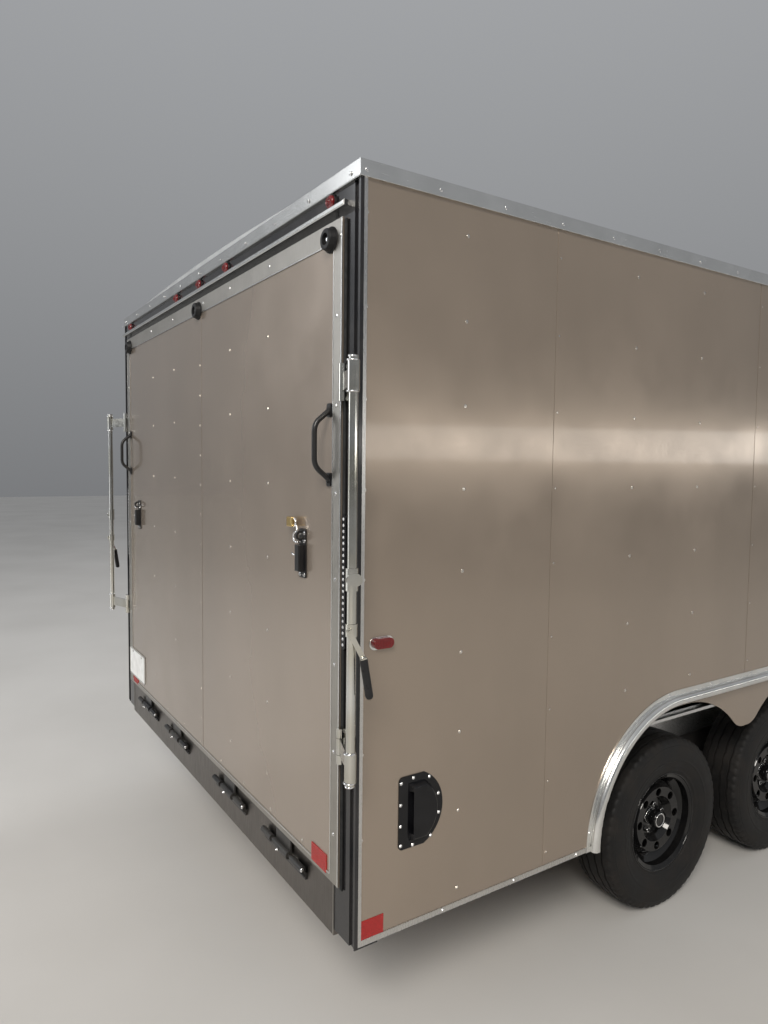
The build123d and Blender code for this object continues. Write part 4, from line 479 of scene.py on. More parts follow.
def spaced(start, step, count):
    """A row of places at even steps."""
    return [start + step * i for i in range(count)]


def mirrored(places):
    """Places on both sides of the middle, each one once."""
    return sorted({sign * place for place in places for sign in (-1, 1)})


# Screws and seams of the two sides
SCREW_COLUMNS = [0.022, 0.377, 0.77, 1.168, 1.567] + spaced(1.977, 0.4023, 8)
SEAMS = spaced(0.770, 1.207, 4)
SCREW_TOP = 2.525
SCREW_STEP = 0.2515
ARCH_REAR = 1.489
ARCH_FRONT = 2.519
ARCH_OUTER = 0.515
DOOR_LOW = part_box("side_door")[0].z
DOOR_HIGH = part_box("side_door")[1].z
DOOR_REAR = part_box("side_door")[0].y - REAR_Y
DOOR_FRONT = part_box("side_door")[1].y - REAR_Y


def in_arch(y, z, margin=0.012):
    radius = ARCH_OUTER + margin
    if z > SKIRT + radius:
        return False
    if ARCH_REAR <= y <= ARCH_FRONT:
        return True
    near = ARCH_REAR if y < ARCH_REAR else ARCH_FRONT
    return (y - near) ** 2 + (z - SKIRT) ** 2 < radius**2


def in_door(y, z, margin=0.05):
    return DOOR_REAR - margin < y < DOOR_FRONT + margin and DOOR_LOW - margin < z < DOOR_HIGH + margin


def side_screws(side):
    screws = Gather()
    for column, y in enumerate(SCREW_COLUMNS):
        for row in range(9):
            z = SKIRT + 0.012 if column == 0 and row == 8 else SCREW_TOP - SCREW_STEP * row
            if in_arch(y, z) or (side > 0 and in_door(y, z)) or y > BOX_LENGTH - 0.05:
                continue
            screws.screw(at(side * HALF, y, z), (side, 0, 0), *SHEET_SCREW)
    return screws


def side_seams(side):
    """Laps of the side's sheets from the skirt or the arch to the roof, except at the door."""
    seams = Gather()
    for y in SEAMS:
        if side > 0 and in_door(y, (DOOR_LOW + DOOR_HIGH) / 2):
            continue
        low = SKIRT + 0.02
        if in_arch(y, SKIRT + 0.1, 0):
            near = min(max(y, ARCH_REAR), ARCH_FRONT)
            low = SKIRT + sqrt(ARCH_OUTER**2 - (y - near) ** 2)
        seams.block((side * HALF, side * (HALF + LAP)), (y - 0.014, y + 0.004), (low, WALL_TOP))
    return seams


def side_skins():
    for name, side in SIDES:
        side_screws(side).piece(f"side_screws_{name}", "body_skin", SCREW)
        side_seams(side).piece(f"side_seams_{name}", "body_skin", bevel=0.0005, segments=1)


# Rear ramp door
RAMP_ROWS = (0.750, 1.007, 1.263, 1.519, 1.775, 2.030, 2.273)
RAMP_COLUMNS = (0.352, 0.705)
RAMP_FOOT_X = spaced(0, 0.245, 5)
RAMP_EDGE_X = 1.184768
RAMP_EDGE_ROWS = (0.744, 0.995, 1.257, 1.507, 1.757, 2.01, 2.263)
HINGE_Z = FLOOR - 0.044
HINGE_X = (-0.84, -0.34, 0.34, 0.84)


def ramp_screws():
    skin, edge, seam = Gather(), Gather(), Gather()
    skin.grid(mirrored(RAMP_COLUMNS), [RAMP_FACE], RAMP_ROWS, AHEAD, SHEET_SCREW)
    skin.grid([0.012], [RAMP_FACE - LAP], spaced(0.742, 0.126, 13), AHEAD, SEAM_SCREW)
    skin.grid(mirrored(RAMP_FOOT_X), [RAMP_FACE], [0.632], AHEAD, SHEET_SCREW)
    skin.piece("ramp_screws", "ramp_skin", SCREW, "ramp_door")
    edge.grid(mirrored([RAMP_EDGE_X]), [BAND_FACE], RAMP_EDGE_ROWS, AHEAD, BAND_SCREW)
    edge.grid(mirrored([1.206]), [BAND_FACE], [2.482], AHEAD, BAND_SCREW)
    edge.grid(mirrored([0.06, 0.36, 0.72]), [BAND_FACE], [2.503], AHEAD, BAND_SCREW)
    edge.piece("ramp_band_screws", "bright_trim", CHROME, "ramp_door")
    seam.block((-0.002, 0.028), (RAMP_FACE - LAP, RAMP_FACE), (SKIN_LOW, SKIN_HIGH))
    seam.piece("ramp_seam", "ramp_skin", body="ramp_door", bevel=0.0005, segments=1)


def ramp_band_folds():
    """The turned edges of the bright band round the ramp."""
    folds = Gather()
    depth = (BAND_FACE - 0.0012, BAND_FACE)
    fold, hem, inner = 0.004, 0.005, RAMP_HALF - 0.050
    folds.pair((inner, inner + fold), depth, (SKIN_LOW, SKIN_HIGH))
    folds.pair((RAMP_HALF - hem, RAMP_HALF), depth, (RAMP_LOW, RAMP_TOP))
    folds.block((-inner, inner), depth, (SKIN_HIGH - fold, SKIN_HIGH))
    folds.block((-inner, inner), depth, (SKIN_LOW - fold, SKIN_LOW))
    folds.piece("ramp_band_folds", "bright_trim", body="ramp_door", bevel=0.0006)


def ramp_seal():
    """Bulb seal on the two upright edges of the door."""
    seal = Gather()
    radius = 0.006
    y = RAMP_FACE + 0.0125
    for sign in (-1, 1):
        x = sign * (RAMP_HALF + radius * 0.6)
        seal.tube([at(x, y, RAMP_LOW + 0.01), at(x, y, RAMP_TOP - 0.03)], radius, 8)
    seal.piece("ramp_seal", "black_rubber", SEAL, "ramp_door")


def reflectors():
    """Plain red reflectors with fine moulded ribs, stuck to the ramp and to the sides."""
    ramp, sides = Gather(), Gather()
    sheet, rib, half_rib = 0.0014, 0.0004, 0.0012
    face = BAND_FACE - sheet
    ramp.pair((1.048, 1.144), (face, BAND_FACE + 0.002), (0.604, 0.660))
    for x in spaced(1.054, 0.0056, 16):
        ramp.pair((x - half_rib, x + half_rib), (face - rib, face), (0.607, 0.657))
    ramp.piece("ramp_reflectors", "red_lens", REFLECTOR, "ramp_door", bevel=0.0003)
    outer = HALF + 0.0016
    sides.pair((HALF, outer), (0.014, 0.100), (0.468, 0.524))
    for y in spaced(0.020, 0.0057, 14):
        sides.pair((outer, outer + rib), (y - half_rib, y + half_rib), (0.471, 0.521))
    sides.piece("side_reflectors", "red_lens", REFLECTOR, bevel=0.0003)


def plate_holder():
    """Blank plate in a rolled bright frame with two bolts, above the sill at the left."""
    plate, rim = Gather(), Gather()
    x0, x1, z0, z1 = -1.205, -0.900, 0.640, 0.792
    y = BAND_FACE - 0.0021
    edge = 0.006
    plate.block((x0, x1), (y, BAND_FACE), (z0, z1))
    plate.piece("blank_plate", "ramp_skin", WHITE_PAINT, "ramp_door", bevel=0.0006)
    for zs in ((z0, z0 + edge), (z1 - edge, z1)):
        rim.block((x0, x1), (y - 0.0026, y), zs)
    for xs in ((x0, x0 + edge), (x1 - edge, x1)):
        rim.block(xs, (y - 0.0026, y), (z0, z1))
    for x in (x0 + 0.065, x1 - 0.065):
        rim.screw(at(x, y, z1 - 0.016), AHEAD, 0.006, 0.003)
    rim.piece("plate_frame", "bright_trim", body="ramp_door", bevel=0.0008)


def bumper_screws():
    """Washer and pan head at the bottom of each bumper's bore, and the bead round its foot."""
    screws, beads = Gather(), Gather()
    low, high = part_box("ramp_bumpers")
    foot_y, z = high.y - REAR_Y, (low.z + high.z) / 2
    for x in (low.x + 0.035, 0, high.x - 0.035):
        screws.lathe(at(x, foot_y - 0.008, z), AHEAD, [(0.013, 0), (0.013, 0.0016), (0.0122, 0.002)], 24)
        pan = [(0.009, 0), (0.0085, 0.004), (0.006, 0.0062), (0.002, 0.007)]
        screws.lathe(at(x, foot_y - 0.010, z), AHEAD, pan, 20)
        bead = [(0.0345, 0), (0.0372, 0), (0.0372, 0.003), (0.0345, 0.0042)]
        beads.lathe(at(x, foot_y, z), AHEAD, bead, 32, ring=True)
    screws.piece("bumper_screws", "bright_trim", CHROME, "ramp_door")
    beads.piece("bumper_beads", "black_rubber", body="ramp_door")


def handle_bolts():
    """A hex bolt at each end of the two grab handles."""
    bolts = Gather()
    low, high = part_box("grab_handles")
    for x in mirrored((1.148,)):
        for z in (low.z + 0.016, high.z - 0.016):
            bolts.bolt(at(x, BAND_FACE - 0.004, z), AHEAD, 0.0062, 0.0052)
    bolts.piece("handle_bolts", "black_coated", body="ramp_door")


def hasp_details():
    """Bolts, pins and shackles of the two hasps."""
    bolts, shackles = Gather(), Gather()
    low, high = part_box("hasps")
    shackle_y, shackle_z = RAMP_FACE - 0.017, high.z - 0.027
    turns = [pi * i / 14 for i in range(15)]
    for sign in (-1, 1):
        x = sign * (high.x - 0.022)
        for z in (low.z + 0.010, high.z - 0.014, high.z - 0.038):
            for side in (-0.014, 0.014):
                bolts.bolt(at(x + side, RAMP_FACE - 0.005, z), AHEAD, *SMALL_BOLT)
        pin = at(x, RAMP_FACE - 0.020, low.z + 0.070)
        ends = (Vector((-0.034, -0.001, 0.001)), Vector((-0.041, -0.001, 0.006)))
        bolts.tube([pin, *(pin + end for end in ends)], 0.0028)
        reach = 0.016 if sign > 0 else 0.012
        path = [(-0.004, reach)]
        path += [(-0.022 - 0.9 * reach * sin(a), reach * cos(a)) for a in turns]
        path += [(-0.004, -reach)]
        shackles.tube([at(x + dx, shackle_y, shackle_z + dz) for dx, dz in path], 0.0032)
    bolts.piece("hasp_bolts", "zinc_steel", CHROME, "ramp_door")
    shackles.piece("hasp_shackles", "bright_trim", CHROME, "ramp_door")
    padlock(high.x - 0.074, RAMP_FACE - 0.018, high.z + 0.018)


def padlock(x, y, z):
    """Brass padlock on its side above the right hasp, with its bow and the hook that holds it."""
    body, bow = Gather(), Gather()
    body.block((x - 0.019, x + 0.019), (y - 0.009, y + 0.008), (z - 0.015, z + 0.017))
    body.piece("padlock_body", "bright_trim", BRASS, "ramp_door", bevel=0.004, segments=3)
    reach = 0.013
    turns = [pi * i / 10 for i in range(11)]
    bend = [at(x + 0.019 + reach * sin(a), y, z - reach * cos(a)) for a in turns]
    bow.tube([at(x + 0.010, y, z - reach), *bend, at(x + 0.010, y, z + reach)], 0.0032)
    hook = ((0.030, 0), (0.038, 0.012), (0.042, 0.030), (0.046, 0.044))
    bow.tube([at(x + side, y, z - drop) for side, drop in hook], 0.003)
    bow.lathe(at(x - 0.019, y, z), (-1, 0, 0), [(0.005, 0), (0.005, 0.0008), (0.004, 0.001)])
    bow.piece("padlock_bow", "bright_trim", CHROME, "ramp_door")


def hinge_details():
    """Pin heads, grease nipples and the weld beads of the sill hinges."""
    pins, welds, nipples = Gather(), Gather(), Gather()
    nipple = [(0.0052, -0.001), (0.0052, 0.003), (0.0028, 0.004), (0.0034, 0.008), (0.002, 0.009)]
    for x in HINGE_X:
        for sign in (-1, 1):
            head = at(x + sign * 0.155, -0.016, HINGE_Z)
            pins.lathe(head, (sign, 0, 0), [(0.0075, 0), (0.0075, 0.003), (0.005, 0.005)])
            bead = [(0.08 + 0.0075 * i, -0.0068 - 0.0006 * (i % 2)) for i in range(11)]
            welds.tube([at(x + sign * dx, y, HINGE_Z - 0.0262) for dx, y in bead], 0.0026, 8)
        nipples.lathe(at(x, -0.029, HINGE_Z), AHEAD, nipple, 12)
    pins.piece("hinge_pins", "zinc_steel", CHROME)
    welds.piece("hinge_welds", "black_steel")
    nipples.piece("hinge_nipples", "zinc_steel", CHROME, "ramp_door")


# Rear frame: posts, header, lamps and locks
REAR_MARKERS = (-1.14, -0.31, 0, 0.31, 1.14)
REAR_MARKER_Z = WALL_TOP - 0.025
SIDE_MARKER_Y = 0.082
SIDE_MARKER_Z = FLOOR + 0.747
LOCK_PIVOT_X = HALF - 0.0605
LOCK_PIVOT_Y = -0.019
LOCK_ARM = 0.1546
LOCK_REST = radians(70.7)
LEVER_Z = FLOOR + 0.818
LEVER_LENGTH = 0.19
LAMP_DOTS = 22


def tail_lamp_dots():
    """Rows of clear domes over the lamp strips, which are dark while the lamps are off."""
    dots, frames = Gather(), Gather()
    low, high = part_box("tail_lamps")
    dome = [(0.0052, -0.001), (0.005, 0.0006), (0.0038, 0.0018), (0.0018, 0.0025), (0.0004, 0.0027)]
    rim = [(0.0066, -0.0005), (0.0066, 0.0006), (0.0056, 0.0010), (0.0052, 0.0004)]
    step = (high.z - low.z - 0.028) / (LAMP_DOTS - 1)
    for x, z in product(mirrored([high.x - 0.011]), spaced(low.z + 0.014, step, LAMP_DOTS)):
        dots.lathe((x, low.y, z), AHEAD, dome, 14)
        frames.lathe((x, low.y, z), AHEAD, rim, 14, ring=True)
    dots.piece("tail_lamp_dots", "red_lens", CLEAR_DOT)
    frames.piece("tail_lamp_rings", "black_plastic")


def header_details():
    """Seams of the header sheet, its screws over the drip rail, and the lamps' bases."""
    seams, screws, bases = Gather(), Gather(), Gather()
    seams.pair((1.1665, 1.1695), (-0.0012, 0), (HEADER_BOTTOM, WALL_TOP - 0.012))
    seams.piece("header_seams", "frame_paint", SEAL)
    rail_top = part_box("drip_rail")[1].z
    screws.grid(spaced(-1.16, 0.29, 9), [-0.0004], [rail_top + 0.012], AHEAD, PANEL_SCREW)
    screws.piece("header_screws", "frame_paint")
    base = [(0.0196, 0), (0.0236, 0), (0.0232, 0.003), (0.0216, 0.0046), (0.0196, 0.0044)]
    for x in REAR_MARKERS:
        bases.lathe(at(x, 0, REAR_MARKER_Z), AHEAD, base, 28, ring=True)
    bases.piece("marker_bases", "black_rubber")


def lock_plate_bolts(heights):
    """Bolts of the lock plates and the heads of their pins."""
    bolts, pins = Gather(), Gather()
    head = [(0.0085, -0.001), (0.0085, 0.0025), (0.006, 0.0042), (0.001, 0.0048)]
    for sign, z, way in product((-1, 1), heights, (-1, 1)):
        bolts.bolt(at(sign * (LOCK_PIVOT_X + 0.0145), -0.005, z + way * 0.044), AHEAD, *SMALL_BOLT)
        pins.lathe(at(sign * LOCK_PIVOT_X, LOCK_PIVOT_Y, z + way * 0.031), (0, 0, way), head)
    bolts.piece("lock_mount_bolts", "zinc_steel", CHROME)
    pins.piece("lock_pins", "zinc_steel", CHROME)


def lock_details():
    """Vinyl grips of the levers, and bright rings round the sleeves and the bars' ends."""
    low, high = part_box("lock_mounts")
    heights = (low.z + 0.052, high.z - 0.052)
    lock_plate_bolts(heights)
    sleeve_ring = [(0.0168, -0.002), (0.0172, 0), (0.0168, 0.002), (0.0135, 0.0028)]
    bar_end = [(0.0129, -0.004), (0.0131, -0.001), (0.0118, 0.0012), (0.004, 0.0018)]
    for side, sign in SIDES:
        bar_x = sign * (LOCK_PIVOT_X + LOCK_ARM * sin(LOCK_REST))
        bar_y = LOCK_PIVOT_Y - LOCK_ARM * cos(LOCK_REST)
        axis = at(bar_x, bar_y, 0)

        def on_grip(place):
            reach = hypot(place.x - axis.x, place.y - axis.y)
            return reach > 0.0165 and LEVER_Z - LEVER_LENGTH < place.z < LEVER_Z - 0.078

        cover(f"lock_lever_{side}", f"bar_lock_{side}", on_grip, GRIP, f"bar_lock_{side}")
        rings = Gather()
        for z, way in product(heights, (-1, 1)):
            rings.lathe(at(bar_x, bar_y, z + way * 0.040), (0, 0, way), sleeve_ring, 20)
        for z, way in zip(heights, (-1, 1)):
            rings.lathe(at(bar_x, bar_y, z + way * 0.052), (0, 0, way), bar_end, 20)
        rings.piece(f"lock_rings_{side}", "zinc_steel", CHROME, f"bar_lock_{side}")


# Wheels: tread, sidewalls, nuts and dust caps
DISC_X = TYRE_X + 0.020
STUD_CIRCLE = 0.05715
TREAD_HALF = 0.084
GROOVES = (0.056, 0.021, -0.021, -0.056)
GROOVE_HALF = 0.0042
GROOVE_DEPTH = 0.0075
TURNS = 180
TYRE_WALL = (
    (0.0705, 0.1925), (0.079, 0.1985), (0.0845, 0.2065), (0.0855, 0.2120), (0.0885, 0.2150),
    (0.0905, 0.2200), (0.0905, 0.2240), (0.0940, 0.2310), (0.0990, 0.2450), (0.1018, 0.2580),
    (0.1032, 0.2640), (0.1040, 0.2650), (0.1046, 0.2680), (0.1038, 0.2700), (0.1052, 0.2790),
    (0.1056, 0.2860), (0.1050, 0.2990), (0.1034, 0.3120), (0.1012, 0.3230), (0.1016, 0.3240),
    (0.1002, 0.3270), (0.0996, 0.3275), (0.0975, 0.3360),
)
TYRE_SHOULDER = ((0.0955, 0.3415), (0.0915, 0.3485), (0.0870, 0.3535))


def tread_profile():
    """Section of the tyre from bead to bead as (across, radius, kind)."""
    marks = [TREAD_HALF, 0.0720]
    for groove in GROOVES:
        marks += [groove + GROOVE_HALF, groove + GROOVE_HALF - 0.001]
        marks += [groove - GROOVE_HALF + 0.001, groove - GROOVE_HALF]
        if groove > -0.05:
            marks.append(groove - 0.0175)
    marks += [-0.0720, -TREAD_HALF]
    half = [(x, r, "wall") for x, r in TYRE_WALL] + [(x, r, "block") for x, r in TYRE_SHOULDER]
    points = list(half)
    for x in marks:
        radius = 0.3595 - 0.0038 * (x / TREAD_HALF) ** 2
        sunk = any(abs(x - groove) < GROOVE_HALF - 0.0005 for groove in GROOVES)
        edge = any(abs(abs(x - groove) - GROOVE_HALF) < 0.0002 for groove in GROOVES)
        kind = "groove" if sunk else "edge" if edge else "block" if abs(x) > 0.065 else "rib"
        points.append((x, radius - (GROOVE_DEPTH if sunk else 0), kind))
    return points + [(-x, r, kind) for x, r, kind in reversed(half)]


def tyre(name, sign, y, body):
    """Radial tyre with four grooves, slotted shoulders and moulded rings, in place of the plain one."""
    rings = []
    for k in range(TURNS):
        angle = 2 * pi * k / TURNS
        zigzag = 0.0014 * (1 if (k // 3) % 2 else -1)
        ring = []
        for x, radius, kind in tread_profile():
            if kind == "block" and k % 3 == 0:
                radius -= 0.0055
            if kind == "rib" and k % 6 == 0:
                radius -= 0.0022
            shift = zigzag if kind in ("edge", "groove") else 0
            up, along = radius * sin(angle), radius * cos(angle)
            ring.append(at(sign * TYRE_X + x + shift, y + along, WHEEL_RADIUS + up))
        rings.append(ring)
    shape = Gather()
    shape.loft(rings, True, closed=True)
    obj = shape.piece(f"tread_{name}", "tyre_rubber", body=body)
    obj.data.set_sharp_from_angle(angle=radians(32))
    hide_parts(f"tyre_{name}")


def lug_nuts(name, sign, y, body):
    """Five nuts on their studs, with bright rims."""
    nuts, rims = Gather(), Gather()
    out = (sign, 0, 0)
    nut = [(0.0125, -0.0005), (0.0122, 0.0025), (0.0108, 0.004), (0.0108, 0.0150), (0.0094, 0.0172)]
    rim = [(0.0094, 0.0166), (0.0102, 0.0172), (0.0100, 0.0182), (0.0076, 0.0186), (0.0066, 0.0176)]
    for i in range(5):
        angle = 2 * pi * i / 5 + pi / 2
        up, along = STUD_CIRCLE * sin(angle), STUD_CIRCLE * cos(angle)
        place = at(sign * DISC_X, y + along, WHEEL_RADIUS + up)
        nuts.lathe(place, out, nut, 6, False)
        nuts.lathe(place, out, [(0.0062, 0.0150), (0.0062, 0.0200), (0.0050, 0.0212)], 14)
        rims.lathe(place, out, rim, 18, ring=True)
    nuts.piece(f"lug_nuts_{name}", "rim_black", body=body)
    rims.piece(f"lug_rims_{name}", "zinc_steel", CHROME, body)


def hub_and_rim(name, sign, y, body):
    """Dust cap with its bright rings, the valve, and the rim's rolled lip."""
    cap, ring, lip = Gather(), Gather(), Gather()
    out = (sign, 0, 0)
    centre = at(sign * DISC_X, y, WHEEL_RADIUS)
    cap.lathe(centre, out, [
        (0.0352, -0.0005), (0.0352, 0.030), (0.0348, 0.0395), (0.0330, 0.0455), (0.0290, 0.0480),
        (0.0235, 0.0482), (0.0228, 0.0474), (0.0120, 0.0478), (0.0008, 0.0480),
    ], 40)
    for section in (
        [(0.0236, 0.0476), (0.0262, 0.0488), (0.0288, 0.0488), (0.0304, 0.0478)],
        [(0.0356, 0.0010), (0.0372, 0.0020), (0.0372, 0.0045), (0.0354, 0.0060)],
    ):
        ring.lathe(centre, out, section, 40, ring=True)
    angle, radius = radians(205), 0.168
    up, along = sin(angle), cos(angle)
    valve = at(sign * (TYRE_X + 0.052), y + radius * along, WHEEL_RADIUS + radius * up)
    cap.lathe(valve, (sign, -0.35 * along, -0.35 * up), [
        (0.0085, -0.004), (0.0080, 0.004), (0.0052, 0.010), (0.0044, 0.028), (0.0050, 0.030), (0.0048, 0.038),
    ], 14)
    cap.piece(f"dust_cap_{name}", "rim_black", body=body)
    ring.piece(f"cap_ring_{name}", "zinc_steel", CHROME, body)
    lip.lathe(at(sign * TYRE_X, y, WHEEL_RADIUS), out, [
        (0.2010, 0.0768), (0.2045, 0.0800), (0.2068, 0.0835),
        (0.2062, 0.0860), (0.2030, 0.0852), (0.2000, 0.0818),
    ], 96, ring=True)
    lip.piece(f"rim_lip_{name}", "rim_black", body=body)


def wheels():
    for end, y in WHEEL_Y.items():
        for side, sign in SIDES:
            name = f"{end}_{side}"
            tyre(name, sign, y, f"wheel_{name}")
            lug_nuts(name, sign, y, f"wheel_{name}")
            hub_and_rim(name, sign, y, f"wheel_{name}")


# Vents, markers, arch trims and rails of the sides
VENT_SCREWS = (
    (0.157, 0.902), (0.201, 0.910), (0.260, 0.901), (0.295, 0.841), (0.298, 0.780),
    (0.268, 0.715), (0.201, 0.704), (0.157, 0.712), (0.156, 0.772), (0.156, 0.836),
)
RAIL_STEP = 0.3017


def arch_screw_places():
    """Screws of the arch's flange as (y, z): four on each bend and three along the top."""
    radius = ARCH_OUTER - 0.011
    turns = [radians(a) for a in (8, 34, 60, 84)]
    places = [(ARCH_REAR - radius * cos(a), SKIRT + radius * sin(a)) for a in turns]
    places += [(ARCH_FRONT + radius * cos(a), SKIRT + radius * sin(a)) for a in turns]
    return places + [(ARCH_REAR + (ARCH_FRONT - ARCH_REAR) * u, SKIRT + radius) for u in (0.22, 0.5, 0.78)]


def oval(y, z, reach, height, count=24):
    """Outline of a long lamp as (y, z)."""
    outline = []
    for k in range(count):
        angle = 2 * pi * k / count
        along = reach * (1 if cos(angle) > 0 else -1) + height * cos(angle)
        outline.append((y + along, z + height * sin(angle)))
    return outline


def side_fittings():
    vents, rails, trims, gaskets = Gather(), Gather(), Gather(), Gather()
    for sign in (-1, 1):
        out = (sign, 0, 0)
        for y, z in VENT_SCREWS:
            vents.screw(at(sign * (HALF + 0.003), y, z), out, *VENT_SCREW)
        y = 0.32
        while y < BOX_LENGTH - 0.05:
            if not ARCH_REAR - ARCH_OUTER - 0.03 < y < ARCH_FRONT + ARCH_OUTER + 0.03:
                rails.screw(at(sign * (HALF + 0.0025), y, SKIRT + 0.009), out, *RAIL_SCREW)
            y += RAIL_STEP
        for y, z in arch_screw_places():
            trims.screw(at(sign * (HALF + 0.003), y, z), out, *PANEL_SCREW)
        for y in (SIDE_MARKER_Y, BOX_LENGTH - 0.092):
            outline = oval(y, SIDE_MARKER_Z, 0.0225, 0.0185)
            gaskets.loft([[at(sign * (HALF + depth), *place) for place in outline] for depth in (0, 0.0035)])
    vents.piece("vent_screws", "zinc_steel", CHROME)
    rails.piece("rail_screws", "bright_trim", CHROME)
    trims.piece("arch_screws", "bright_trim", CHROME)
    gaskets.piece("marker_gaskets", "bright_trim", bevel=0.0006)


def marker_ribs():
    """Fine ribs on the faces of the oval lamps and rings on the round ones."""
    ribs = Gather()
    zs = (SIDE_MARKER_Z - 0.0095, SIDE_MARKER_Z + 0.0095)
    for y in spaced(SIDE_MARKER_Y - 0.0224, 0.0056, 9):
        ribs.pair((HALF + 0.0138, HALF + 0.0147), (y - 0.0014, y + 0.0014), zs)
    for x, radius in product(REAR_MARKERS, (0.0035, 0.0075, 0.0115)):
        ring = [(radius - 0.0012, -0.0005), (radius, 0.0009), (radius + 0.0012, -0.0005)]
        ribs.lathe(at(x, -0.016, REAR_MARKER_Z), AHEAD, ring, 24, ring=True)
    ribs.piece("marker_ribs", "red_lens", bevel=0.0003)


def roof_edge():
    """Screws along the roof trim and the rolled lip at its foot."""
    screws, lips = Gather(), Gather()
    proud, lip = 0.006, 0.002
    trim, screw_z = HALF + proud, WALL_TOP + 0.020
    lip_ys, lip_zs = (-proud - lip, BOX_LENGTH), (WALL_TOP, WALL_TOP + 0.004)
    for sign in (-1, 1):
        y = 0.018
        while y < BOX_LENGTH - 0.02:
            screws.screw(at(sign * trim, y, screw_z), (sign, 0, 0), *TRIM_SCREW)
            y += SCREW_STEP
    screws.grid(spaced(-1.25, 0.25, 11), [-proud], [screw_z], AHEAD, TRIM_SCREW)
    lips.pair((trim, trim + lip), lip_ys, lip_zs)
    lips.block((-trim, trim), (-proud - lip, -proud), lip_zs)
    screws.piece("roof_trim_screws", "bright_trim", CHROME)
    lips.piece("roof_trim_lips", "bright_trim", bevel=0.0008)


def frame_seams():
    """Joints of the sill and the posts, and the seal strips that the ramp closes against; their black also
    paints in the shade of the gap beside the door.
    """
    joints, seals_and_gap_shade = Gather(), Gather()
    sill_zs = (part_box("rear_sill")[0].z + 0.004, FLOOR - 0.002)
    seal_zs = (RAMP_LOW - 0.004, HEADER_BOTTOM + 0.02)
    joints.pair((POST_INNER - 0.0015, POST_INNER + 0.0015), (-0.0012, 0.0005), sill_zs)
    # Seal strips on the posts beside the door's edges, their black also painted shade of the gap there
    seals_and_gap_shade.pair((RAMP_HALF + 0.003, RAMP_HALF + 0.017), (-0.0045, 0.001), seal_zs)
    joints.piece("sill_joints", "frame_paint", SATIN)
    seals_and_gap_shade.piece("post_seals_and_gap_shade", "black_rubber", SEAL, bevel=0.002)


def arch_beads():
    """Rolled edge between the arch trim's flange and its band."""
    beads = Gather()
    radius = ARCH_OUTER - 0.0225
    turns = [radians(a) for a in range(2, 91, 4)]
    path = [(ARCH_REAR - radius * cos(a), SKIRT + radius * sin(a)) for a in turns]
    path += [(ARCH_FRONT + radius * cos(a), SKIRT + radius * sin(a)) for a in reversed(turns)]
    for sign in (-1, 1):
        beads.tube([at(sign * (HALF + 0.0034), *place) for place in path], 0.0018, 8)
    beads.piece("arch_beads", "bright_trim")


def roof_seams():
    """Lapped seams of the roof sheet, which follow its crown."""
    seams = Gather()
    for y in SEAMS:
        path = [surface("roof", at(x, y, WALL_TOP + 0.5), -UP) for x in spaced(-1.27, 0.2117, 13)]
        seams.strip(path, Vector((0, 0.011, 0)), UP * 0.0016)
    seams.piece("roof_seams", "roof_skin")


# Nose, side door, load space, running gear and hitch
BAR_STEP = 0.0298
BAR_ROWS = 19
HINGE_STEP = (0.826, 1.515, 2.204)
WELL_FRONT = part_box("wheel_wells")[1].y - REAR_Y
WELL_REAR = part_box("wheel_wells")[0].y - REAR_Y
WELL_TOP = FLOOR + 0.266
LINING_TOP = WALL_TOP - 0.19
BOW_STEP = 0.4064
BOWS = 12


def nose_line(sign):
    """Start and end of one nose wall's outer face at the ground, its direction and its outward normal."""
    start, end = at(sign * HALF, BOX_LENGTH, 0), at(sign * TIP_HALF, NOSE_TIP, 0)
    along = (end - start).normalized()
    return start, end, along, Vector((along.y * sign, -along.x * sign, 0))


def tread_bars(bars, start, along, out, columns):
    """Bars of tread plate over the stone guard from `start`, leaning left and right by turns."""
    for column, row in product(range(columns), range(BAR_ROWS)):
        middle = start + along * (BAR_STEP * column) + UP * (SKIRT + 0.03 + BAR_STEP * row)
        lean = along + UP * (1 if (column + row) % 2 else -1)
        bars.lozenge(middle, lean.normalized(), out)


def nose():
    """Tread plate bars on the stone guard, and the screws and lip of the nose's trims."""
    bars, screws, skin, seams, lips = Gather(), Gather(), Gather(), Gather(), Gather()
    guard = 0.0025
    for sign in (-1, 1):
        start, end, along, out = nose_line(sign)
        tread_bars(bars, start + along * 0.035 + out * guard, along, out, 44)
        for u in spaced(0.05, 0.21, 7):
            place = start + along * u
            screws.screw(place + out * guard + UP * (SKIRT + 0.598), out, *TRIM_SCREW)
            screws.screw(place + out * 0.006 + UP * (WALL_TOP + 0.020), out, *TRIM_SCREW)
        columns = (0.07, 0.49, 0.91, (end - start).length - 0.05)
        for u, z in product(columns, spaced(SCREW_TOP, -SCREW_STEP, 6)):
            skin.screw(start + along * u + UP * z, out, *SHEET_SCREW)
        seam = start + along * 0.70
        seams.strip([seam + UP * (SKIRT + 0.62), seam + UP * WALL_TOP], along * 0.010, out * LAP)
        foot = out * 0.0065 + UP * (WALL_TOP + 0.002)
        lips.tube([start + foot, end + foot], 0.002, 8)
        corner = ([sign * (HALF + guard)], [BOX_LENGTH - 0.016], spaced(SCREW_TOP, -SCREW_STEP, 9))
        screws.grid(*corner, (sign, 0, 0), SHEET_SCREW)
    tread_bars(bars, at(-2 * BAR_STEP, NOSE_TIP + guard, 0), Vector((1, 0, 0)), Vector((0, 1, 0)), 5)
    bars.piece("tread_plate_bars", "plate_aluminium")
    screws.piece("nose_trim_screws", "bright_trim", CHROME)
    skin.piece("nose_screws", "body_skin", SCREW)
    seams.piece("nose_seams", "body_skin")
    lips.piece("nose_trim_lips", "bright_trim")


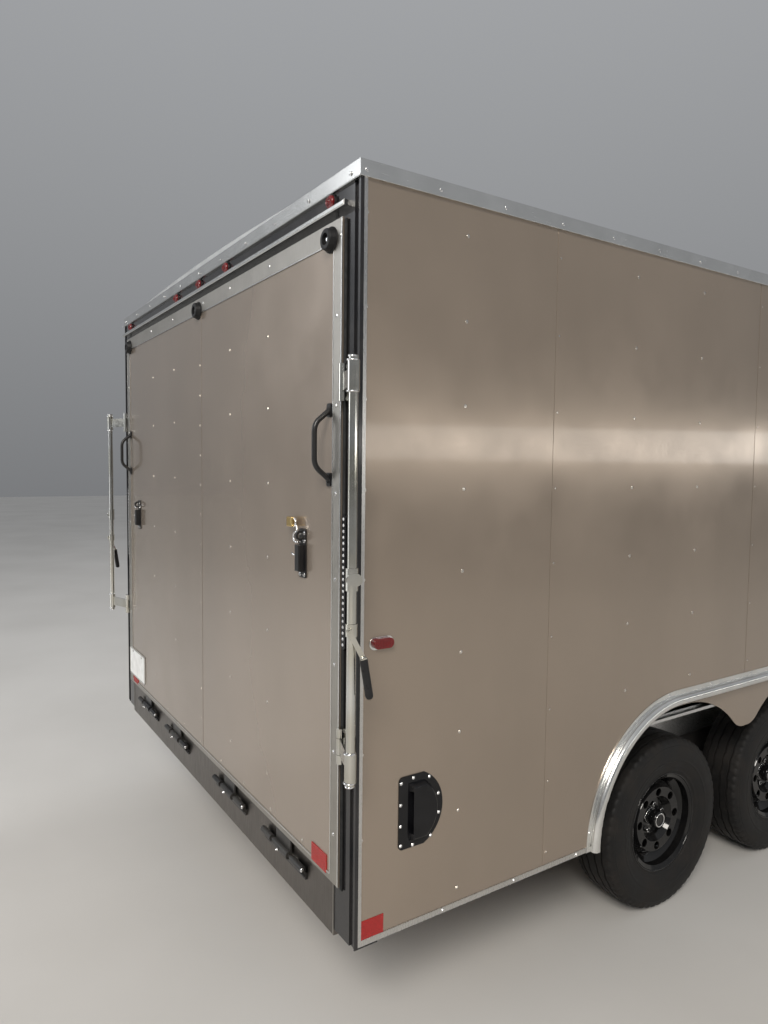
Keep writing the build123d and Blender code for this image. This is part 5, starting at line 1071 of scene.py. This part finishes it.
def door_hinges(fixed, chrome):
    """Bolts of both leaves and the ends of the pins."""
    out = (1, 0, 0)
    y = DOOR_FRONT + 0.003
    for z in HINGE_STEP:
        for rise in (-0.030, 0, 0.030):
            fixed.bolt(at(HALF + 0.009, y + 0.028, z + rise), out, *HINGE_BOLT)
        for rise in (-0.014, 0.014):
            chrome.bolt(at(HALF + 0.005, y - 0.030, z + rise), out, *HINGE_BOLT)
        for way in (-1, 1):
            end = at(HALF + 0.015, y, z + way * 0.061)
            fixed.lathe(end, (0, 0, way), [(0.0066, -0.0005), (0.0062, 0.002), (0.003, 0.0032)])


def door_latch(chrome):
    """Rivets, key lock and paddle of the side door's latch."""
    out = (1, 0, 0)
    low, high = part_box("side_door_latch")
    x, y, z = HALF + 0.005, (low.y + high.y) / 2 - REAR_Y, (low.z + high.z) / 2
    for side, rivet_z in product((-0.037, 0.037), (low.z + 0.008, high.z - 0.008)):
        chrome.rivet(at(x, y + side, rivet_z), out, 0.0042, 0.002)
    barrel = [(0.0105, 0), (0.0105, 0.003), (0.0085, 0.0042), (0.0082, 0.0034), (0.001, 0.0034)]
    chrome.lathe(at(x, y, low.z + 0.018), out, barrel, 24)
    chrome.block((x + 0.0034, x + 0.0040), (y - 0.0008, y + 0.0008), (low.z + 0.0135, low.z + 0.0225))
    paddle = Gather()
    paddle.block((x + 0.001, x + 0.004), (y - 0.031, y + 0.031), (z + 0.020, high.z - 0.012))
    paddle.lathe(at(x, y, z), out, [(0.022, 0), (0.022, 0.003), (0.0195, 0.0055)], 28)
    return paddle


def side_door():
    """Screws of the door's frame and skin, hinge bolts and pins, the latch's lock and the seal."""
    screws, fixed, chrome, skin, seal = Gather(), Gather(), Gather(), Gather(), Gather()
    out, frame_x = (1, 0, 0), HALF + 0.006
    rows, columns = spaced(DOOR_LOW + 0.05, 0.215, 9), spaced(DOOR_REAR + 0.03, 0.213, 5)
    clear = [z for z in rows if min(abs(z - step) for step in HINGE_STEP) > 0.075]
    screws.grid([frame_x], [DOOR_REAR - 0.025], rows, out, DOOR_SCREW)
    screws.grid([frame_x], [DOOR_FRONT + 0.025], clear, out, DOOR_SCREW)
    screws.grid([frame_x], columns, (DOOR_LOW - 0.025, DOOR_HIGH + 0.025), out, DOOR_SCREW)
    skin.grid([HALF], (DOOR_REAR + 0.028, DOOR_FRONT - 0.060), rows, out, DOOR_SCREW)
    skin.grid([HALF], columns, (DOOR_LOW + 0.028, DOOR_HIGH - 0.028), out, DOOR_SCREW)
    door_hinges(fixed, chrome)
    paddle = door_latch(chrome)
    gap = 0.003
    ys, zs = (DOOR_REAR - gap, DOOR_FRONT + gap), (DOOR_LOW - gap, DOOR_HIGH + gap)
    corners = [at(HALF - 0.004, ys[j], zs[k]) for j, k in ((0, 0), (1, 0), (1, 1), (0, 1))]
    for i in range(4):
        seal.tube([corners[i], corners[(i + 1) % 4]], 0.0024, 8)
    screws.piece("door_frame_screws", "bright_trim", CHROME)
    fixed.piece("door_hinge_bolts", "zinc_steel", CHROME)
    chrome.piece("door_bolts", "zinc_steel", CHROME, "side_door")
    skin.piece("door_skin_screws", "body_skin", SCREW, "side_door")
    paddle.piece("door_latch_face", "black_plastic", body="side_door", bevel=0.0012)
    seal.piece("side_door_seal", "black_rubber", SEAL)


def side_lining(sign, lining, screws):
    """Sheets of one side over and beside the wheel well, and their screws."""
    inner = sign * (HALF - WALL)
    face = inner - sign * 0.003
    joints = [0.09, 1.29, 2.49, 3.69, BOX_LENGTH - 0.03]
    if sign > 0:
        joints[-2:] = [DOOR_REAR - 0.045]
    for y0, y1 in zip(joints, joints[1:]):
        lining.block((face, inner), (y0 + 0.001, y1 - 0.001), (WELL_TOP + 0.004, LINING_TOP))
        for low, high in ((y0, min(y1, WELL_REAR - 0.004)), (max(y0, WELL_FRONT + 0.004), y1)):
            if high - low > 0.02:
                lining.block((face, inner), (low + 0.001, high - 0.001), (FLOOR + 0.001, WELL_TOP + 0.003))
        ys = spaced(y0 + 0.02, (y1 - y0 - 0.04) / 3, 4)
        zs = spaced(WELL_TOP + 0.03, (LINING_TOP - WELL_TOP - 0.06) / 5, 6)
        screws.grid([face], ys, zs, (-sign, 0, 0), LINING_SCREW)


def nose_lining(lining, screws):
    """Sheets inside the two nose walls and the tip."""
    sheet, sunk = 0.0035, 0.0005
    low, high = UP * (FLOOR + 0.001), UP * LINING_TOP
    for sign in (-1, 1):
        start, end, along, out = nose_line(sign)
        middle = (start + end) / 2 - out * (WALL - sunk)
        half = (end - start).length / 2 - 0.06
        lining.strip([middle + low, middle + high], along * half, out * -sheet)
        for column in range(4):
            place = middle + along * (half - 0.025) * (column / 1.5 - 1) - out * sheet
            for row in range(7):
                screws.screw(place + low.lerp(high, 0.02 + 0.16 * row), -out, *LINING_SCREW)
    middle = at(0, NOSE_TIP - WALL + sunk, 0)
    lining.strip([middle + low, middle + high], Vector((TIP_HALF - 0.025, 0, 0)), Vector((0, -sheet, 0)))


def roof_bows(bows, deck):
    """Hat-section bows under the roof and the deck's rows of screws below them."""
    for y in spaced(0.25, BOW_STEP, BOWS):
        path = [surface("roof", at(x, y, WALL_TOP - 0.3), UP) for x in spaced(-1.24, 0.31, 9)]
        bows.strip(path, Vector((0, 0.019, 0)), UP * -0.022)
        for foot in (-0.030, 0.030):
            bows.strip([place + Vector((0, foot, 0)) for place in path], Vector((0, 0.011, 0)), UP * -0.0016)
    deck.grid(spaced(-0.93, 0.31, 7), spaced(0.46, BOW_STEP, BOWS), [FLOOR], UP, DECK_SCREW)


def dome_lamps():
    """Two round lamps under the roof, each with a white rim and three screws."""
    lamps, rims = Gather(), Gather()
    down = -UP
    dome = [(0.056, 0.004), (0.055, 0.016), (0.046, 0.028), (0.028, 0.035), (0.004, 0.037)]
    rim = [(0.056, 0), (0.071, 0), (0.070, 0.010), (0.060, 0.015), (0.056, 0.014)]
    for y in (1.672, 3.704):
        place = surface("roof", at(0, y, WALL_TOP - 0.3), UP)
        lamps.lathe(place, down, dome, 36)
        rims.lathe(place, down, rim, 36, ring=True)
        for a in (0.5, 2.6, 4.7):
            head = place + Vector((0.065 * cos(a), 0.065 * sin(a), -0.0125))
            rims.screw(head, down, 0.003, 0.0015)
    lamps.piece("dome_lamps", "amber_lens", CLEAR_DOT)
    rims.piece("dome_lamp_rims", "bright_trim", WHITE_PAINT)


def load_space():
    """Plywood lining with its screws, roof bows, two dome lamps and the screws of deck and ramp."""
    lining, screws, bows, deck, ramp = Gather(), Gather(), Gather(), Gather(), Gather()
    for sign in (1, -1):
        side_lining(sign, lining, screws)
    nose_lining(lining, screws)
    lining.piece("plywood_lining", "plywood", bevel=0.0006, segments=1)
    roof_bows(bows, deck)
    bows.piece("roof_bows", "plate_aluminium")
    dome_lamps()
    screws.piece("lining_screws", "zinc_steel", SCREW)
    deck.piece("deck_screws", "zinc_steel", SCREW)
    inner_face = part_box("ramp_panel")[1].y - 0.0005

    def inside(place):
        return place.y > inner_face

    cover("ramp_inner_plywood", "ramp_panel", inside, RAMP_WOOD, "ramp_door")
    rows = spaced(RAMP_LOW + 0.06, 0.245, 8)
    ramp.grid(mirrored([0.05, 0.4, 0.78, 1.09]), [RAMP_BACK], rows, (0, 1, 0), RAMP_SCREW)
    ramp.piece("ramp_inner_screws", "zinc_steel", SCREW, "ramp_door")


def running_gear():
    """Nuts of the spring clamps and of the hangers' bolts."""
    nuts = Gather()
    for x in (-0.930, 0.930):
        for end, axle_y in WHEEL_Y.items():
            for dx, dy in product((-0.030, 0.030), (-0.038, 0.038)):
                rod_top = surface(f"axle_{end}", at(x + dx, axle_y + dy, 0.42), -UP)
                nuts.bolt(rod_top - UP * 0.0082, UP, 0.0095, 0.006)
        for y, face in product((1.254, 2.004, 2.754), (-1, 1)):
            nuts.bolt(at(x + face * 0.0312, y, 0.370), (face, 0, 0), 0.0105, 0.008)
    nuts.piece("spring_nuts", "zinc_steel")


def hitch():
    """Bolts of the coupler and the jack, the jack's bands and rivets, and the lid of the wiring box."""
    bolts, bands, lid = Gather(), Gather(), Gather()
    jack_y = (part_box("jack_leg")[0].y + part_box("jack_leg")[1].y) / 2 - REAR_Y
    for x, y in product((-0.074, 0.074), (6.200, 6.245)):
        bolts.bolt(surface("coupler", at(x, y, 0.9), -UP), UP, 0.0085, 0.007)
    for x, dy in ((-0.098, -0.038), (0.098, -0.038), (-0.062, 0.024), (0.062, 0.024)):
        bolts.bolt(surface("jack_tube", at(x, jack_y + dy, 0.64), -UP), UP, 0.008, 0.0065)
    for i in range(6):
        angle = pi * i / 3 + 0.4
        out = Vector((cos(angle), sin(angle), 0))
        bolts.rivet(at(0, jack_y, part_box("jack_tube")[1].z - 0.1465) + out * 0.0365, out, 0.004, 0.002)
    bolts.piece("hitch_bolts", "zinc_steel")
    band = [(0.0284, -0.004), (0.0306, -0.003), (0.0306, 0.003), (0.0284, 0.004)]
    for z in (0.345, 0.62, 0.98):
        bands.lathe(at(0, jack_y, z), UP, band, 36, ring=True)
    bands.piece("jack_bands", "black_steel")
    low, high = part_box("wiring_box")
    lid.box((low.x - 0.003, low.y - 0.003, high.z - 0.009), (high.x + 0.003, high.y + 0.003, high.z + 0.002))
    for x, y in product((low.x + 0.008, high.x - 0.008), (low.y + 0.008, high.y - 0.008)):
        lid.rivet((x, y, high.z + 0.002), UP, 0.0035, 0.0014)
    gland = [(0.0125, -0.001), (0.0125, 0.007), (0.010, 0.009), (0.010, 0.016), (0.0065, 0.017)]
    lid.lathe(((low.x + high.x) / 2, high.y, low.z + 0.022), (0, 1, 0), gland, 20)
    lid.piece("wiring_box_lid", "black_plastic", bevel=0.001)


# Floor and light, with each light's name, place, aim, size, power and colour
LIGHTS = (
    ("key", (7.0, -8.5, 7.5), (0.6, -2.0, 1.2), (3.5, 3.5), 820, (1, 0.95, 0.88)),
    ("rear_fill", (-4.5, -9.5, 4.5), (0, -3.2, 1.2), (5, 4), 120, (0.95, 0.97, 1)),
    ("front_fill", (-6, 9, 6), (0, 1, 1.2), (6, 5), 520, (1, 1, 1)),
    ("side_strip", (7.5, 3.5, 2.2), (1.3, 0.5, 1.5), (9, 0.5), 50, (1, 0.97, 0.92)),
    ("rear_strip", (-2.6, -8.0, 2.0), (0, -3.2, 1.6), (1.1, 4.5), 45, (0.96, 0.98, 1)),
)


def stage():
    mesh = bpy.data.meshes.new("studio_floor")
    mesh.from_pydata([(-40, -40, 0), (40, -40, 0), (40, 40, 0), (-40, 40, 0)], [], [(0, 1, 2, 3)])
    s = Shader("floor_paint", (0.62, 0.6, 0.57), rough=0.7)
    s.color(s.noise(0.8, detail=4), 0.3, 0.7, (0.58, 0.565, 0.54), (0.64, 0.625, 0.6))
    mesh.materials.append(s.material)
    obj = new_object("studio_floor", mesh)


def area_light(name, place, aim, size, power, color):
    data = bpy.data.lights.new(name, "AREA")
    data.shape = "RECTANGLE"
    data.size, data.size_y = size
    data.energy = power
    data.color = color
    light = new_object(name, data)
    light.location = place
    light.rotation_euler = (Vector(aim) - Vector(place)).to_track_quat("-Z", "Y").to_euler()


def sky():
    """Soft sky that brightens from the horizon up."""
    world = bpy.data.worlds.new("soft_sky")
    bpy.context.scene.world = world
    world.use_nodes = True
    tree = world.node_tree
    background = tree.nodes["Background"]
    background.inputs["Color"].default_value = (0.80, 0.82, 0.85, 1)
    parts = tree.nodes.new("ShaderNodeSeparateXYZ")
    rise = tree.nodes.new("ShaderNodeMapRange")
    tree.links.new(tree.nodes.new("ShaderNodeTexCoord").outputs["Generated"], parts.inputs[0])
    tree.links.new(parts.outputs["Z"], rise.inputs[0])
    for i, value in enumerate((-0.05, 0.7, 0.24, 0.5), 1):
        rise.inputs[i].default_value = value
    tree.links.new(rise.outputs[0], background.inputs["Strength"])


photo_camera()
side_skins()
ramp_screws()
ramp_band_folds()
ramp_seal()
reflectors()
plate_holder()
bumper_screws()
handle_bolts()
hasp_details()
hinge_details()
tail_lamp_dots()
header_details()
lock_details()
bpy.context.view_layer.update()
wheels()
side_fittings()
marker_ribs()
roof_edge()
frame_seams()
arch_beads()
roof_seams()
nose()
side_door()
load_space()
running_gear()
hitch()
stage()
sky()
for light in LIGHTS:
    area_light(*light)
bpy.context.scene.view_settings.view_transform = "Standard"
